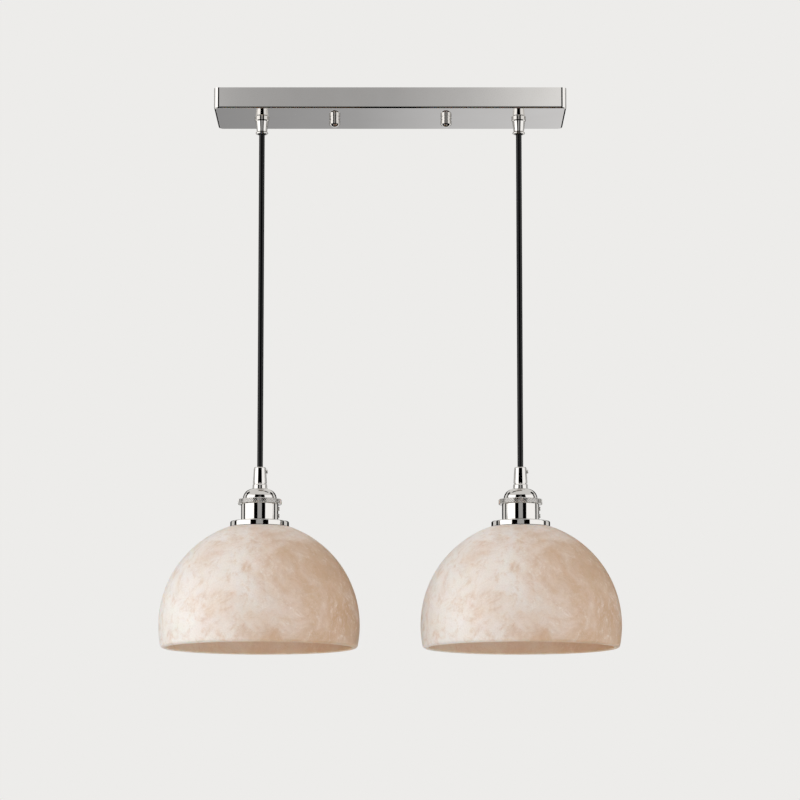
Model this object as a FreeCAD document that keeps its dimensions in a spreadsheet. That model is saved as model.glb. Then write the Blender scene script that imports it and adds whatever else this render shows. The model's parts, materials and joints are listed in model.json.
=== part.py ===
"""Two-light ceiling pendant with alabaster bowls, in millimetres.

The origin is the middle of the canopy on the ceiling plane, +Z points up and the lamp hangs below it.
X runs along the canopy, through both pendants, and -Y faces the viewer. Every depth is measured
downwards from the ceiling.
"""

import FreeCAD, Part
import math
import os

import Sketcher

Vector = FreeCAD.Vector

# The driving dimensions: a name for each, its value in millimetres (or a count), and what it sets.
DIMENSIONS = [
    # ceiling canopy and what holds it up
    ("canopy_length", 400.0),  # long side of the tray
    ("canopy_width", 110.0),  # front to back
    ("canopy_depth", 24.0),  # ceiling to underside
    ("canopy_sheet", 1.0),  # sheet of the tray
    ("canopy_corner_round", 6.0),  # upright corners, outside
    ("canopy_edge_round", 2.2),  # edge round the underside, outside
    ("bar_middle_length", 88.0),  # stretch of the crossbar that lies on the ceiling
    ("bar_slope_length", 8.0),  # each sloping stretch, along the bar
    ("bar_drop", 4.0),  # how far its ends stand off the ceiling
    ("bar_end_length", 20.0),  # from a canopy stud to the bar's end
    ("bar_width", 20.0),
    ("bar_thickness", 1.5),
    ("slot_spacing", 60.0),  # between the two ceiling screws
    ("slot_length", 20.0),
    ("slot_width", 5.0),
    ("stud_spacing", 128.0),  # between the two cap nuts
    ("stud_diameter", 4.0),
    ("stud_head_diameter", 8.0),
    ("stud_head_height", 2.2),
    ("stud_nut_flats", 7.0),
    ("stud_nut_height", 3.2),
    ("stud_in_nut", 6.0),  # length of stud inside each cap nut
    ("hole_clearance", 0.25),  # round a screw or nipple, on the radius
    ("cap_nut_diameter", 12.5),
    ("cap_nut_height", 10.0),
    ("cap_nut_dome", 3.4),  # height of its domed end
    ("cap_nut_groove_width", 1.2),
    ("cap_nut_groove_depth", 0.5),
    ("earth_screw_offset", 12.0),  # from a stud to the earth screw beyond it
    ("earth_screw_diameter", 4.0),
    ("earth_screw_head_diameter", 7.0),
    ("earth_screw_head_height", 2.4),
    ("lug_thickness", 0.8),
    ("lug_diameter", 8.0),
    ("lug_barrel_length", 6.0),
    ("lug_barrel_diameter", 3.4),
    ("lug_barrel_bite", 0.3),  # how far the barrel runs into the lug's ring
    # terminal block
    ("block_length", 20.0),  # along X, from wire entry to wire entry
    ("block_width", 19.0),
    ("block_height", 12.0),
    ("block_edge_round", 1.0),
    ("pole_spacing", 9.0),  # between its two poles
    ("pole_depth", 7.0),  # from its top to the middle of a pole
    ("entry_diameter", 5.6),  # wire entries
    ("insert_length", 13.0),  # brass tube in each pole
    ("insert_bore", 3.0),
    ("terminal_screw_diameter", 2.6),
    ("terminal_screw_spacing", 7.0),
    ("terminal_screw_recess", 0.8),
    ("block_screw_diameter", 3.0),
    ("block_screw_head_diameter", 4.6),
    ("block_screw_head_height", 2.0),
    # cables
    ("pendant_spacing", 295.0),  # between the two cables
    ("cable_diameter", 6.5),
    ("cable_drop", 385.0),  # cable that shows between its two grips
    ("cable_clearance", 0.15),  # round the cable in a bore, on the radius
    ("core_diameter", 2.2),
    ("core_ring_radius", 1.5),  # middle of the sheath to the middle of a core
    ("sheath_past_nipple", 1.0),
    # cord grip under the canopy
    ("top_grip_length", 18.5),
    ("top_grip_collar_diameter", 16.2),
    ("top_grip_collar_length", 3.4),
    ("top_grip_shoulder_diameter", 14.4),
    ("top_grip_neck_diameter", 11.8),
    ("top_grip_bead_diameter", 14.2),
    ("top_grip_bead_length", 3.2),
    ("nipple_diameter", 10.0),
    ("nipple_length", 5.0),  # above the floor of the canopy
    ("lock_nut_flats", 14.0),
    ("lock_nut_height", 3.0),
    # the swivelling collet in the mouth of that grip
    ("pivot_inset", 1.5),  # the pivot's height inside the mouth
    ("collet_height", 2.0),
    ("collet_wall", 0.8),
    ("collet_gap", 0.35),  # collet to the grip's mouth, on the radius
    ("swing_gap", 0.7),  # cable to collet, on the radius
    ("cable_past_pivot", 1.3),  # cable that stands above the pivot
    ("chamber_past_pivot", 3.0),  # room above the pivot
    # cord grip on each lampholder
    ("grip_length", 24.2),
    ("grip_base_diameter", 16.3),
    ("grip_waist_diameter", 15.6),
    ("grip_top_diameter", 13.6),
    ("grip_top_round", 1.6),
    ("grip_groove_height", 5.2),  # from the base to the middle of the groove
    ("grip_groove_width", 1.2),
    ("grip_groove_depth", 0.9),
    ("spigot_length", 5.0),
    ("set_screw_drop", 5.0),  # below the top of the grip
    ("set_screw_diameter", 3.0),
    ("set_screw_head_diameter", 4.4),
    ("set_screw_head_length", 1.6),
    ("set_screw_stand_off", 0.35),  # head to the grip's top radius
    ("set_screw_slot", 0.8),
    # lampholder
    ("cap_diameter", 38.2),
    ("cap_height", 11.7),  # dome of the cap
    ("cap_crown_diameter", 17.4),  # flat that the grip stands on
    ("cap_dome_radius", 11.4),
    ("cap_sheet", 1.2),
    ("cap_neck_diameter", 37.2),  # under the dome, inside the union ring's lip
    ("cap_neck_length", 1.0),  # neck that shows above the ring
    ("cap_foot_diameter", 41.6),
    ("cap_foot_thickness", 1.2),
    ("ring_diameter", 49.0),
    ("ring_height", 6.0),
    ("ring_lip", 1.0),
    ("ring_edge_round", 0.6),
    ("ring_chamfer", 1.8),  # slope under the ring
    ("running_clearance", 0.1),  # threads and sliding seats, on the radius
    ("holder_diameter", 42.1),
    ("holder_show", 17.4),  # plain barrel between the ring and its bead
    ("holder_sheet", 0.9),
    ("bead_diameter", 44.8),
    ("bead_height", 1.7),
    ("barrel_screw_diameter", 3.0),
    ("barrel_screw_head_diameter", 4.6),
    ("barrel_screw_head_length", 1.3),
    ("barrel_screw_spacing", 8.0),
    ("barrel_screw_depth", 4.6),  # from the ring to the upper barrel screw
    ("flange_diameter", 66.5),
    ("flange_height", 5.9),
    ("flange_sheet", 1.5),
    ("flange_edge_round", 1.2),
    ("flange_hub", 2.0),  # wall of the hub that the shade hangs on
    ("gasket_thickness", 0.8),
    ("gasket_inset", 0.6),  # gasket edge inside the flange or ring that presses it
    ("skirt_wall", 1.6),  # threaded skirt of the lampholder
    ("skirt_inside_holder", 17.0),  # skirt inside the barrel
    ("skirt_past_ring", 3.0),  # skirt that shows under the shade ring
    ("skirt_ledge", 1.5),
    ("shade_ring_diameter", 58.0),
    ("shade_ring_height", 6.5),
    ("shade_ring_plate", 2.2),
    ("shade_ring_hub", 2.2),
    ("shade_ring_notches", 12),
    ("shade_ring_notch_radius", 1.6),
    ("insulator_clearance", 0.2),
    ("insulator_roof", 9.0),  # solid top of the insulator
    ("insulator_inset", 11.0),  # its lower end above the skirt's
    ("shell_diameter", 28.2),  # brass screw shell, outside
    ("shell_sheet", 0.6),
    ("shell_inset", 1.0),
    ("contact_diameter", 10.0),
    ("contact_thickness", 0.8),
    ("contact_tip", 1.2),
    ("post_radius", 10.0),  # terminal posts, from the axis
    ("post_diameter", 4.4),
    ("post_height", 3.4),
    # shade
    ("shade_diameter", 226.6),
    ("shade_height", 136.3),
    ("shade_curve_radius", 117.5),
    ("shade_land_radius", 36.0),  # flat top that the flange sits on
    ("shade_wall", 6.0),
    ("shade_hole_diameter", 43.0),
    ("shade_rim_round", 4.0),
    ("shade_lip_round", 1.2),
    # bulb
    ("bulb_cap_diameter", 26.1),
    ("bulb_cap_length", 25.0),
    ("bulb_cap_sheet", 1.0),
    ("bulb_tip_diameter", 9.0),
    ("bulb_tip_height", 2.4),
    ("bulb_insulator_height", 3.0),
    ("bulb_diameter", 60.0),
    ("bulb_glass_length", 81.0),
    ("bulb_glass_wall", 1.0),
    ("bulb_neck_diameter", 24.0),
]

# Where the cores of a cable run inside the canopy, for the pendant on +X: (x, y, z) offsets in
# millimetres chosen by hand. The other side is its mirror image.
LIVE_ROUTE = [(118.0, 8.0, -10.0), (66.0, 8.2, -12.0), (26.0, -3.4, -9.0)]
NEUTRAL_ROUTE = [(120.0, 11.6, -10.4), (68.0, 12.0, -12.2), (26.0, 5.6, -9.2)]
EARTH_ROUTE = [(124.0, 0.8, -8.0)]
CORE_BEND_DEPTH = {"live": 5.2, "neutral": 8.2, "earth": 5.2}
SIDES = {"left": -1, "right": 1}

doc = FreeCAD.newDocument("alabaster_bowl_pendant")
sheet = doc.addObject("Spreadsheet::Sheet", "Sizes")
sub_parts = []


class Size:
    """A length as its present value and as the formula that ties it to the sheet."""

    def __init__(self, formula, value):
        self.formula = formula
        self.value = value

    def __add__(self, other):
        return joined(self, "+", other)

    def __radd__(self, other):
        return joined(other, "+", self)

    def __sub__(self, other):
        return joined(self, "-", other)

    def __rsub__(self, other):
        return joined(other, "-", self)

    def __mul__(self, other):
        return joined(self, "*", other)

    def __rmul__(self, other):
        return joined(other, "*", self)

    def __truediv__(self, other):
        return joined(self, "/", other)

    def __neg__(self):
        return joined(0, "-", self)


OPERATIONS = {
    "+": lambda a, b: a + b,
    "-": lambda a, b: a - b,
    "*": lambda a, b: a * b,
    "/": lambda a, b: a / b,
}


def as_size(number):
    return number if isinstance(number, Size) else Size(str(number), float(number))


def joined(first, sign, second):
    first, second = as_size(first), as_size(second)
    value = OPERATIONS[sign](first.value, second.value)
    return Size(f"({first.formula} {sign} {second.formula})", value)


def root(size):
    return Size(f"sqrt({size.formula})", math.sqrt(size.value))


def fill_sheet():
    """Writes the dimensions into the sheet and gives them back by name."""
    named = {}
    for row, (alias, value) in enumerate(DIMENSIONS, start=1):
        sheet.set(f"B{row}", str(value))
        sheet.setAlias(f"B{row}", alias)
        named[alias] = Size(f"Sizes.{alias}", float(value))
    doc.recompute()
    return named


D = fill_sheet()


# ---------------------------------------------------------------- helpers


def bind(thing, prop, size):
    """Ties one property of an object to a size."""
    size = as_size(size)
    thing.setExpression(prop, size.formula)


def place(thing, x=0, y=0, depth=0):
    """Puts an object's own origin at x, y and a depth below the ceiling."""
    bind(thing, "Placement.Base.x", x)
    bind(thing, "Placement.Base.y", y)
    bind(thing, "Placement.Base.z", -as_size(depth))


def keep(thing):
    sub_parts.append(thing)
    return thing


def new_body(label, x=0, y=0, depth=0):
    body = doc.addObject("PartDesign::Body", label)
    body.Label = label
    place(body, x, y, depth)
    return body


def plane_sketch(body, name, role):
    sketch = body.newObject("Sketcher::SketchObject", f"{body.Label}_{name}")
    plane = next(f for f in body.Origin.OriginFeatures if f.Role == role)
    sketch.AttachmentSupport = (plane, [""])
    sketch.MapMode = "FlatFace"
    return sketch


def fix_point(sketch, geometry, position, u, v):
    """Holds a point of the sketch at u across and v up from its origin."""
    for kind, axis, size in (("DistanceX", -2, u), ("DistanceY", -1, v)):
        size = as_size(size)
        if abs(size.value) < 1e-9:
            sketch.addConstraint(Sketcher.Constraint("PointOnObject", geometry, position, axis))
            continue
        ends = (-1, 1, geometry, position) if size.value > 0 else (geometry, position, -1, 1)
        length = size if size.value > 0 else -size
        index = sketch.addConstraint(Sketcher.Constraint(kind, *ends, length.value))
        bind(sketch, f"Constraints[{index}]", length)


def fix_radius(sketch, geometry, radius):
    radius = as_size(radius)
    index = sketch.addConstraint(Sketcher.Constraint("Radius", geometry, radius.value))
    bind(sketch, f"Constraints[{index}]", radius)


def edge_between(start, end, bend):
    """A line, or an arc of under a half turn that bends left or right, and which end is its start."""
    if bend is None:
        return Part.LineSegment(start, end), 1, 2
    turn, radius = bend
    radius = as_size(radius).value
    chord = end - start
    across = Vector(-chord.y, chord.x, 0).normalize()
    rise = math.sqrt(max(radius**2 - (chord.Length / 2) ** 2, 0))
    side = 1 if turn == "left" else -1
    centre = (start + end) * 0.5 + across * (side * rise)
    circle = Part.Circle(centre, Vector(0, 0, 1), radius)
    first, last = (start, end) if turn == "left" else (end, start)
    angles = [math.atan2(p.y - centre.y, p.x - centre.x) for p in (first, last)]
    arc = Part.ArcOfCircle(circle, angles[0], angles[1])
    return (arc, 1, 2) if turn == "left" else (arc, 2, 1)


def add_outline(sketch, outline):
    """A closed outline. Each corner is (u, v), or (u, v, (turn, radius)) when an arc leads to it."""
    corners = [Vector(as_size(c[0]).value, as_size(c[1]).value, 0) for c in outline]
    edges = []
    for i, corner in enumerate(outline):
        bend = corner[2] if len(corner) > 2 else None
        curve, first, last = edge_between(corners[i - 1], corners[i], bend)
        geometry = sketch.addGeometry(curve, False)
        edges.append((geometry, first, last, bend))
    for i, (geometry, _, last, bend) in enumerate(edges):
        following = edges[(i + 1) % len(edges)]
        sketch.addConstraint(
            Sketcher.Constraint("Coincident", geometry, last, following[0], following[1])
        )
        fix_point(sketch, geometry, last, outline[i][0], outline[i][1])
        if bend is not None:
            fix_radius(sketch, geometry, bend[1])


def add_circle(sketch, u, v, radius):
    centre = Vector(as_size(u).value, as_size(v).value, 0)
    circle = Part.Circle(centre, Vector(0, 0, 1), as_size(radius).value)
    geometry = sketch.addGeometry(circle, False)
    fix_point(sketch, geometry, 3, u, v)
    fix_radius(sketch, geometry, radius)


def add_slot(sketch, u, v, length, width):
    """A slot along u with round ends, round the point u, v."""
    radius = width / 2
    half = (length - width) / 2
    r, h = radius.value, half.value
    middle = Vector(as_size(u).value, as_size(v).value, 0)
    up = Vector(0, 0, 1)
    quarter = math.pi / 2
    right = Part.ArcOfCircle(Part.Circle(middle + Vector(h, 0, 0), up, r), -quarter, quarter)
    left = Part.ArcOfCircle(Part.Circle(middle - Vector(h, 0, 0), up, r), quarter, 3 * quarter)
    top = Part.LineSegment(middle + Vector(h, r, 0), middle + Vector(-h, r, 0))
    bottom = Part.LineSegment(middle + Vector(-h, -r, 0), middle + Vector(h, -r, 0))
    a, b, c, d = (sketch.addGeometry(g, False) for g in (right, top, left, bottom))
    for first, second in ((a, b), (b, c), (c, d), (d, a)):
        sketch.addConstraint(Sketcher.Constraint("Tangent", first, 2, second, 1))
    fix_point(sketch, a, 3, u + half, v)
    fix_point(sketch, c, 3, u - half, v)
    fix_radius(sketch, a, radius)


def revolve(body, name, outline, feature="PartDesign::Revolution"):
    """Turns an outline of (radius, height) corners about the body's own Z axis."""
    sketch = plane_sketch(body, f"{name}_profile", "XZ_Plane")
    add_outline(sketch, outline)
    turned = body.newObject(feature, f"{body.Label}_{name}")
    turned.Profile = sketch
    turned.ReferenceAxis = (sketch, ["V_Axis"])
    turned.Angle = 360
    return turned


def turned_piece(label, outline, x=0, y=0, depth=0):
    body = new_body(label, x, y, depth)
    revolve(body, "turned", outline)
    return keep(body)


def washer(label, inner, outer, height, x, depth):
    """A flat ring whose underside lies at the given depth."""
    outline = [(inner, 0), (outer, 0), (outer, height), (inner, height)]
    return turned_piece(label, outline, x=x, depth=depth)


def pad(body, sketch, name, length, both_ways=False, downwards=False):
    feature = body.newObject("PartDesign::Pad", f"{body.Label}_{name}")
    feature.Profile = sketch
    feature.SideType = "Symmetric" if both_ways else "One side"
    feature.Reversed = downwards
    bind(feature, "Length", length)
    return feature


def cut_through(body, sketch, name):
    """Cuts a sketch through the whole body, both ways from its plane."""
    feature = body.newObject("PartDesign::Pocket", f"{body.Label}_{name}")
    feature.Profile = sketch
    feature.SideType = "Symmetric"
    feature.Type = "ThroughAll"
    return feature


def round_edges(body, base, name, radius, wanted):
    """Fillets the edges of a feature that the test picks."""
    doc.recompute()
    edges = [f"Edge{i}" for i, edge in enumerate(base.Shape.Edges, start=1) if wanted(edge)]
    feature = body.newObject("PartDesign::Fillet", f"{body.Label}_{name}")
    feature.Base = (base, edges)
    bind(feature, "Radius", radius)
    return feature


def upright(edge):
    return abs(edge.tangentAt(edge.FirstParameter).z) > 0.99 and edge.BoundBox.ZLength > 1e-3


def lies_at(z):
    def test(edge):
        return abs(edge.BoundBox.ZMin - z) < 1e-6 and abs(edge.BoundBox.ZMax - z) < 1e-6

    return test


def cylinder(name, radius, length, x=0, y=0, depth=0, along="z"):
    """A plain cylinder that starts at the given place and runs up Z, or along X."""
    thing = doc.addObject("Part::Cylinder", name)
    bind(thing, "Radius", radius)
    bind(thing, "Height", length)
    if along == "x":
        thing.Placement.Rotation = FreeCAD.Rotation(Vector(0, 1, 0), 90)
    place(thing, x, y, depth)
    return thing


def combined(kind, label, things):
    """Things joined into one (Part::MultiFuse) or kept side by side (Part::Compound)."""
    thing = doc.addObject(kind, label)
    thing.Label = label
    if kind == "Part::Compound":
        thing.Links = things
    else:
        thing.Shapes = things
    return thing


def minus(label, base, tool):
    thing = doc.addObject("Part::Cut", label)
    thing.Label = label
    thing.Base = base
    thing.Tool = tool
    return thing


def hexagon(body, name, flats, height, bore):
    """A hexagon nut's body with its bore, standing on the body's XY plane."""
    sketch = plane_sketch(body, f"{name}_hexagon", "XY_Plane")
    across = flats / 2
    corner = flats / (2 * math.sqrt(3))
    outline = [
        (across, -corner),
        (across, corner),
        (0, corner * 2),
        (-across, corner),
        (-across, -corner),
        (0, -corner * 2),
    ]
    add_outline(sketch, outline)
    add_circle(sketch, 0, 0, bore)
    return pad(body, sketch, name, height)


def rounded_path(points):
    """Straight runs through the points, joined by tangent arcs, and the radii of the arcs."""
    edges, radii = [], []
    start = points[0]
    for before, corner, after in zip(points, points[1:], points[2:]):
        arriving = (corner - before).normalize()
        leaving = (after - corner).normalize()
        half_turn = arriving.getAngle(leaving) / 2
        shorter = min((corner - before).Length, (after - corner).Length)
        setback = 0.45 * shorter
        radii.append(setback / math.tan(half_turn))
        arc_start = corner - arriving * setback
        arc_end = corner + leaving * setback
        inward = (leaving - arriving).normalize()
        centre_distance = radii[-1] / math.cos(half_turn)
        arc_middle = corner + inward * (centre_distance - radii[-1])
        edges.append(Part.LineSegment(start, arc_start).toShape())
        edges.append(Part.Arc(arc_start, arc_middle, arc_end).toShape())
        start = arc_end
    edges.append(Part.LineSegment(start, points[-1]).toShape())
    return Part.Wire(edges), radii


def core_tube(name, points):
    """A round core along a route. The route's arcs are printed with their radii."""
    path, radii = rounded_path([Vector(*p) for p in points])
    radius = D["core_diameter"].value / 2
    start = path.Edges[0]
    section = Part.Circle(Vector(*points[0]), start.tangentAt(start.FirstParameter), radius)
    tube = path.makePipeShell([Part.Wire(section.toShape())], True, False)
    expected = math.pi * radius**2 * path.Length
    share = tube.Volume / expected
    print(f"{name}: arc radii {[round(r, 1) for r in radii]} mm, volume {share:.4f} of its section")
    return tube


def loose_shape(label, shapes):
    """A sub-part whose separate solids are made from the sheet's values directly."""
    feature = doc.addObject("Part::Feature", label)
    feature.Label = label
    feature.Shape = Part.makeCompound(shapes)
    feature.Placement = FreeCAD.Placement()
    return keep(feature)


# ---------------------------------------------------------------- levels
# Depths below the ceiling that several pieces share.

half_spacing = D["pendant_spacing"] / 2
half_studs = D["stud_spacing"] / 2
cable_radius = D["cable_diameter"] / 2
cable_bore = cable_radius + D["cable_clearance"]
nipple_radius = D["nipple_diameter"] / 2
bar_end_underside = D["bar_drop"] + D["bar_thickness"]
canopy_floor = D["canopy_depth"] - D["canopy_sheet"]
nipple_top = canopy_floor - D["nipple_length"]
sheath_top = nipple_top - D["sheath_past_nipple"]
mouth = D["canopy_depth"] + D["top_grip_length"]
pivot = mouth - D["pivot_inset"]
chamber_roof = pivot - D["chamber_past_pivot"]
grip_top = mouth + D["cable_drop"]
grip_base = grip_top + D["grip_length"]
spigot_end = grip_base + D["spigot_length"]
dome_base = grip_base + D["cap_height"]
ring_top = dome_base + D["cap_neck_length"]
ring_bottom = ring_top + D["ring_height"]
cap_foot = ring_top + D["ring_lip"] + D["cap_foot_thickness"]
bead_top = ring_bottom + D["holder_show"]
holder_bottom = bead_top + D["bead_height"]
flange_bottom = holder_bottom + D["flange_height"]
shade_top = flange_bottom + D["gasket_thickness"]
shade_inside_top = shade_top + D["shade_wall"]
shade_ring_top = shade_inside_top + D["gasket_thickness"]
shade_ring_bottom = shade_ring_top + D["shade_ring_height"]
shade_rim = shade_top + D["shade_height"]
skirt_top = holder_bottom - D["skirt_inside_holder"]
skirt_bottom = shade_ring_bottom + D["skirt_past_ring"]
insulator_bottom = skirt_bottom - D["insulator_inset"]
post_top = cap_foot + D["skirt_ledge"]
insulator_top = post_top + D["post_height"]
cavity_roof = insulator_top + D["insulator_roof"]
bulb_tip = cavity_roof + D["contact_thickness"] + D["contact_tip"]
bulb_cap_bottom = bulb_tip + D["bulb_cap_length"]
cable_bottom = spigot_end + D["sheath_past_nipple"]

# Radii that several pieces share.
holder_radius = D["holder_diameter"] / 2
holder_bore = holder_radius - D["holder_sheet"]
skirt_radius = holder_bore - D["running_clearance"]
skirt_bore = skirt_radius - D["skirt_wall"]
thread_bore = skirt_radius + D["running_clearance"]
insulator_radius = skirt_bore - D["insulator_clearance"]


# ---------------------------------------------------------------- canopy


def canopy():
    """An open tray of thin sheet, drilled for two cord grips and two studs."""
    body = new_body("canopy", depth=D["canopy_depth"])
    outline = plane_sketch(body, "outline", "XY_Plane")
    half_length = D["canopy_length"] / 2
    half_width = D["canopy_width"] / 2
    corners = [(1, -1), (1, 1), (-1, 1), (-1, -1)]
    add_outline(outline, [(half_length * u, half_width * v) for u, v in corners])
    block = pad(body, outline, "block", D["canopy_depth"])
    cornered = round_edges(body, block, "corners", D["canopy_corner_round"], upright)
    edged = round_edges(body, cornered, "edge", D["canopy_edge_round"], lies_at(0))
    doc.recompute()
    tray = body.newObject("PartDesign::Thickness", "canopy_tray")
    faces = [
        f"Face{i}"
        for i, face in enumerate(edged.Shape.Faces, start=1)
        if abs(face.BoundBox.ZMin - D["canopy_depth"].value) < 1e-6
    ]
    tray.Base = (edged, faces)
    tray.Reversed = True
    bind(tray, "Value", D["canopy_sheet"])
    holes = plane_sketch(body, "holes", "XY_Plane")
    for side in SIDES.values():
        add_circle(holes, half_spacing * side, 0, nipple_radius + D["hole_clearance"])
        add_circle(holes, half_studs * side, 0, D["stud_diameter"] / 2 + D["hole_clearance"])
    cut_through(body, holes, "drilling")
    return keep(body)


def crossbar():
    """The steel strip on the ceiling. Its ends step down to make room for the stud heads."""
    body = new_body("crossbar")
    profile = plane_sketch(body, "profile", "XZ_Plane")
    flat = D["bar_middle_length"] / 2
    step = flat + D["bar_slope_length"]
    end = half_studs + D["bar_end_length"]
    upper = [(flat, 0), (step, D["bar_drop"]), (end, D["bar_drop"])]
    right_top = [(x, -as_size(drop)) for x, drop in upper]
    right_under = [(x, -(as_size(drop) + D["bar_thickness"])) for x, drop in reversed(upper)]
    left_under = [(-x, z) for x, z in reversed(right_under)]
    left_top = [(-x, z) for x, z in reversed(right_top)]
    add_outline(profile, right_top + right_under + left_under + left_top)
    pad(body, profile, "strip", D["bar_width"], both_ways=True)
    holes = plane_sketch(body, "holes", "XY_Plane")
    earth = half_studs + D["earth_screw_offset"]
    for side in SIDES.values():
        add_slot(holes, D["slot_spacing"] / 2 * side, 0, D["slot_length"], D["slot_width"])
        add_circle(holes, half_studs * side, 0, D["stud_diameter"] / 2 + D["hole_clearance"])
        add_circle(holes, earth * side, 0, D["earth_screw_diameter"] / 2)
    add_circle(holes, 0, 0, D["block_screw_diameter"] / 2)
    cut_through(body, holes, "drilling")
    return keep(body)


def screw(name, x, head_depth, head_diameter, head_height, diameter, length, head_up):
    """A pan-head screw with its head on one side of the seat at head_depth and its shank beyond."""
    seat = as_size(head_depth)
    head_base = seat if head_up else seat + head_height
    shank_base = seat + length if head_up else seat
    head = cylinder(f"{name}_head", head_diameter / 2, head_height, x, 0, head_base)
    shank = cylinder(f"{name}_shank", diameter / 2, length, x, 0, shank_base)
    return combined("Part::MultiFuse", name, [head, shank])


def stud_screws():
    """Two machine screws through the bar's ends. Each reaches through the canopy into a cap nut."""
    length = D["canopy_depth"] - D["bar_drop"] + D["stud_in_nut"]
    screws = []
    for name, side in SIDES.items():
        made = screw(
            f"stud_screw_{name}",
            half_studs * side,
            D["bar_drop"],
            D["stud_head_diameter"],
            D["stud_head_height"],
            D["stud_diameter"],
            length,
            head_up=True,
        )
        screws.append(made)
    return keep(combined("Part::Compound", "stud_screws", screws))


def hex_nuts(label, x, flats, height, bore, underside):
    """Two hexagon nuts, one on each side, in one sub-part."""
    nuts = []
    for name, side in SIDES.items():
        body = new_body(f"{label}_{name}", x=x * side, depth=underside)
        hexagon(body, "nut", flats, height, bore)
        nuts.append(body)
    return keep(combined("Part::Compound", label, nuts))


def cap_nuts():
    """Round cap nuts with a domed end and a fine groove near the canopy."""
    radius = D["cap_nut_diameter"] / 2
    bore = D["stud_diameter"] / 2 + D["running_clearance"] / 2
    top = D["cap_nut_height"]
    dome = D["cap_nut_dome"]
    depth_of_bore = D["stud_in_nut"] + 2 * D["running_clearance"]
    groove_low = top - 2 * D["cap_nut_groove_width"]
    groove_high = top - D["cap_nut_groove_width"]
    groove_radius = radius - D["cap_nut_groove_depth"]
    # a dome that meets the side at height dome and the axis at the tip
    dome_radius = (radius * radius + dome * dome) / (2 * dome)
    outline = [
        (0, 0, None),
        (radius, dome, ("left", dome_radius)),
        (radius, groove_low),
        (groove_radius, groove_low),
        (groove_radius, groove_high),
        (radius, groove_high),
        (radius, top),
        (bore, top),
        (bore, top - depth_of_bore),
        (0, top - depth_of_bore),
    ]
    nuts = []
    for name, side in SIDES.items():
        label = f"cap_nut_{name}"
        body = new_body(label, x=half_studs * side, depth=D["canopy_depth"] + top)
        revolve(body, "turned", outline)
        nuts.append(body)
    return keep(combined("Part::Compound", "cap_nuts", nuts))


def earth_screws():
    """Two screws under the bar's ends. Each clamps the lug of an earth core."""
    length = D["lug_thickness"] + D["bar_thickness"] + D["running_clearance"] * 10
    screws = []
    for name, side in SIDES.items():
        x = (half_studs + D["earth_screw_offset"]) * side
        seat = bar_end_underside + D["lug_thickness"]
        head = cylinder(
            f"earth_head_{name}",
            D["earth_screw_head_diameter"] / 2,
            D["earth_screw_head_height"],
            x,
            0,
            seat + D["earth_screw_head_height"],
        )
        shank = cylinder(f"earth_shank_{name}", D["earth_screw_diameter"] / 2, length, x, 0, seat)
        screws.append(combined("Part::MultiFuse", f"earth_screw_{name}", [head, shank]))
    return keep(combined("Part::Compound", "earth_screws", screws))


# ---------------------------------------------------------------- terminal block

block_bottom = D["bar_thickness"] + D["block_height"]
pole_level = D["bar_thickness"] + D["pole_depth"]
pole_ys = [D["pole_spacing"] / 2 * side for side in (-1, 1)]
screw_xs = [D["terminal_screw_spacing"] / 2 * side for side in (-1, 1)]


def terminal_block():
    """A two-pole insulating block under the bar, with a wire entry at each end of each pole."""
    body = new_body("terminal_block", depth=block_bottom)
    outline = plane_sketch(body, "outline", "XY_Plane")
    half_length = D["block_length"] / 2
    half_width = D["block_width"] / 2
    corners = [(1, -1), (1, 1), (-1, 1), (-1, -1)]
    add_outline(outline, [(half_length * u, half_width * v) for u, v in corners])
    block = pad(body, outline, "block", D["block_height"])
    round_edges(body, block, "edges", D["block_edge_round"], upright)
    entries = plane_sketch(body, "entries", "YZ_Plane")
    for y in pole_ys:
        add_circle(entries, y, D["block_height"] - D["pole_depth"], D["entry_diameter"] / 2)
    cut_through(body, entries, "entries_cut")
    shafts = plane_sketch(body, "shafts", "XY_Plane")
    for y in pole_ys:
        for x in screw_xs:
            add_circle(shafts, x, y, D["terminal_screw_diameter"] / 2 + D["running_clearance"])
    drilled = body.newObject("PartDesign::Pocket", "terminal_block_shafts_cut")
    drilled.Profile = shafts
    drilled.Reversed = True
    bind(drilled, "Length", D["block_height"] - D["pole_depth"])
    middle = plane_sketch(body, "middle", "XY_Plane")
    add_circle(middle, 0, 0, D["block_screw_diameter"] / 2 + D["hole_clearance"])
    cut_through(body, middle, "middle_cut")
    return keep(body)


def terminal_inserts():
    """A brass tube in each pole, tapped for two clamping screws."""
    inserts = []
    for number, y in enumerate(pole_ys, start=1):
        start = -(D["insert_length"] / 2)
        outside = D["entry_diameter"] / 2
        bore = D["insert_bore"] / 2
        length = D["insert_length"]
        tube = cylinder(f"insert_tube_{number}", outside, length, start, y, pole_level, "x")
        cutters = [cylinder(f"insert_bore_{number}", bore, length, start, y, pole_level, "x")]
        for x in screw_xs:
            name = f"insert_tap_{number}_{len(cutters)}"
            tap = D["terminal_screw_diameter"] / 2
            cutters.append(cylinder(name, tap, outside, x, y, pole_level + outside))
        tool = combined("Part::MultiFuse", f"insert_cuts_{number}", cutters)
        inserts.append(minus(f"insert_{number}", tube, tool))
    return keep(combined("Part::Compound", "terminal_inserts", inserts))


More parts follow.
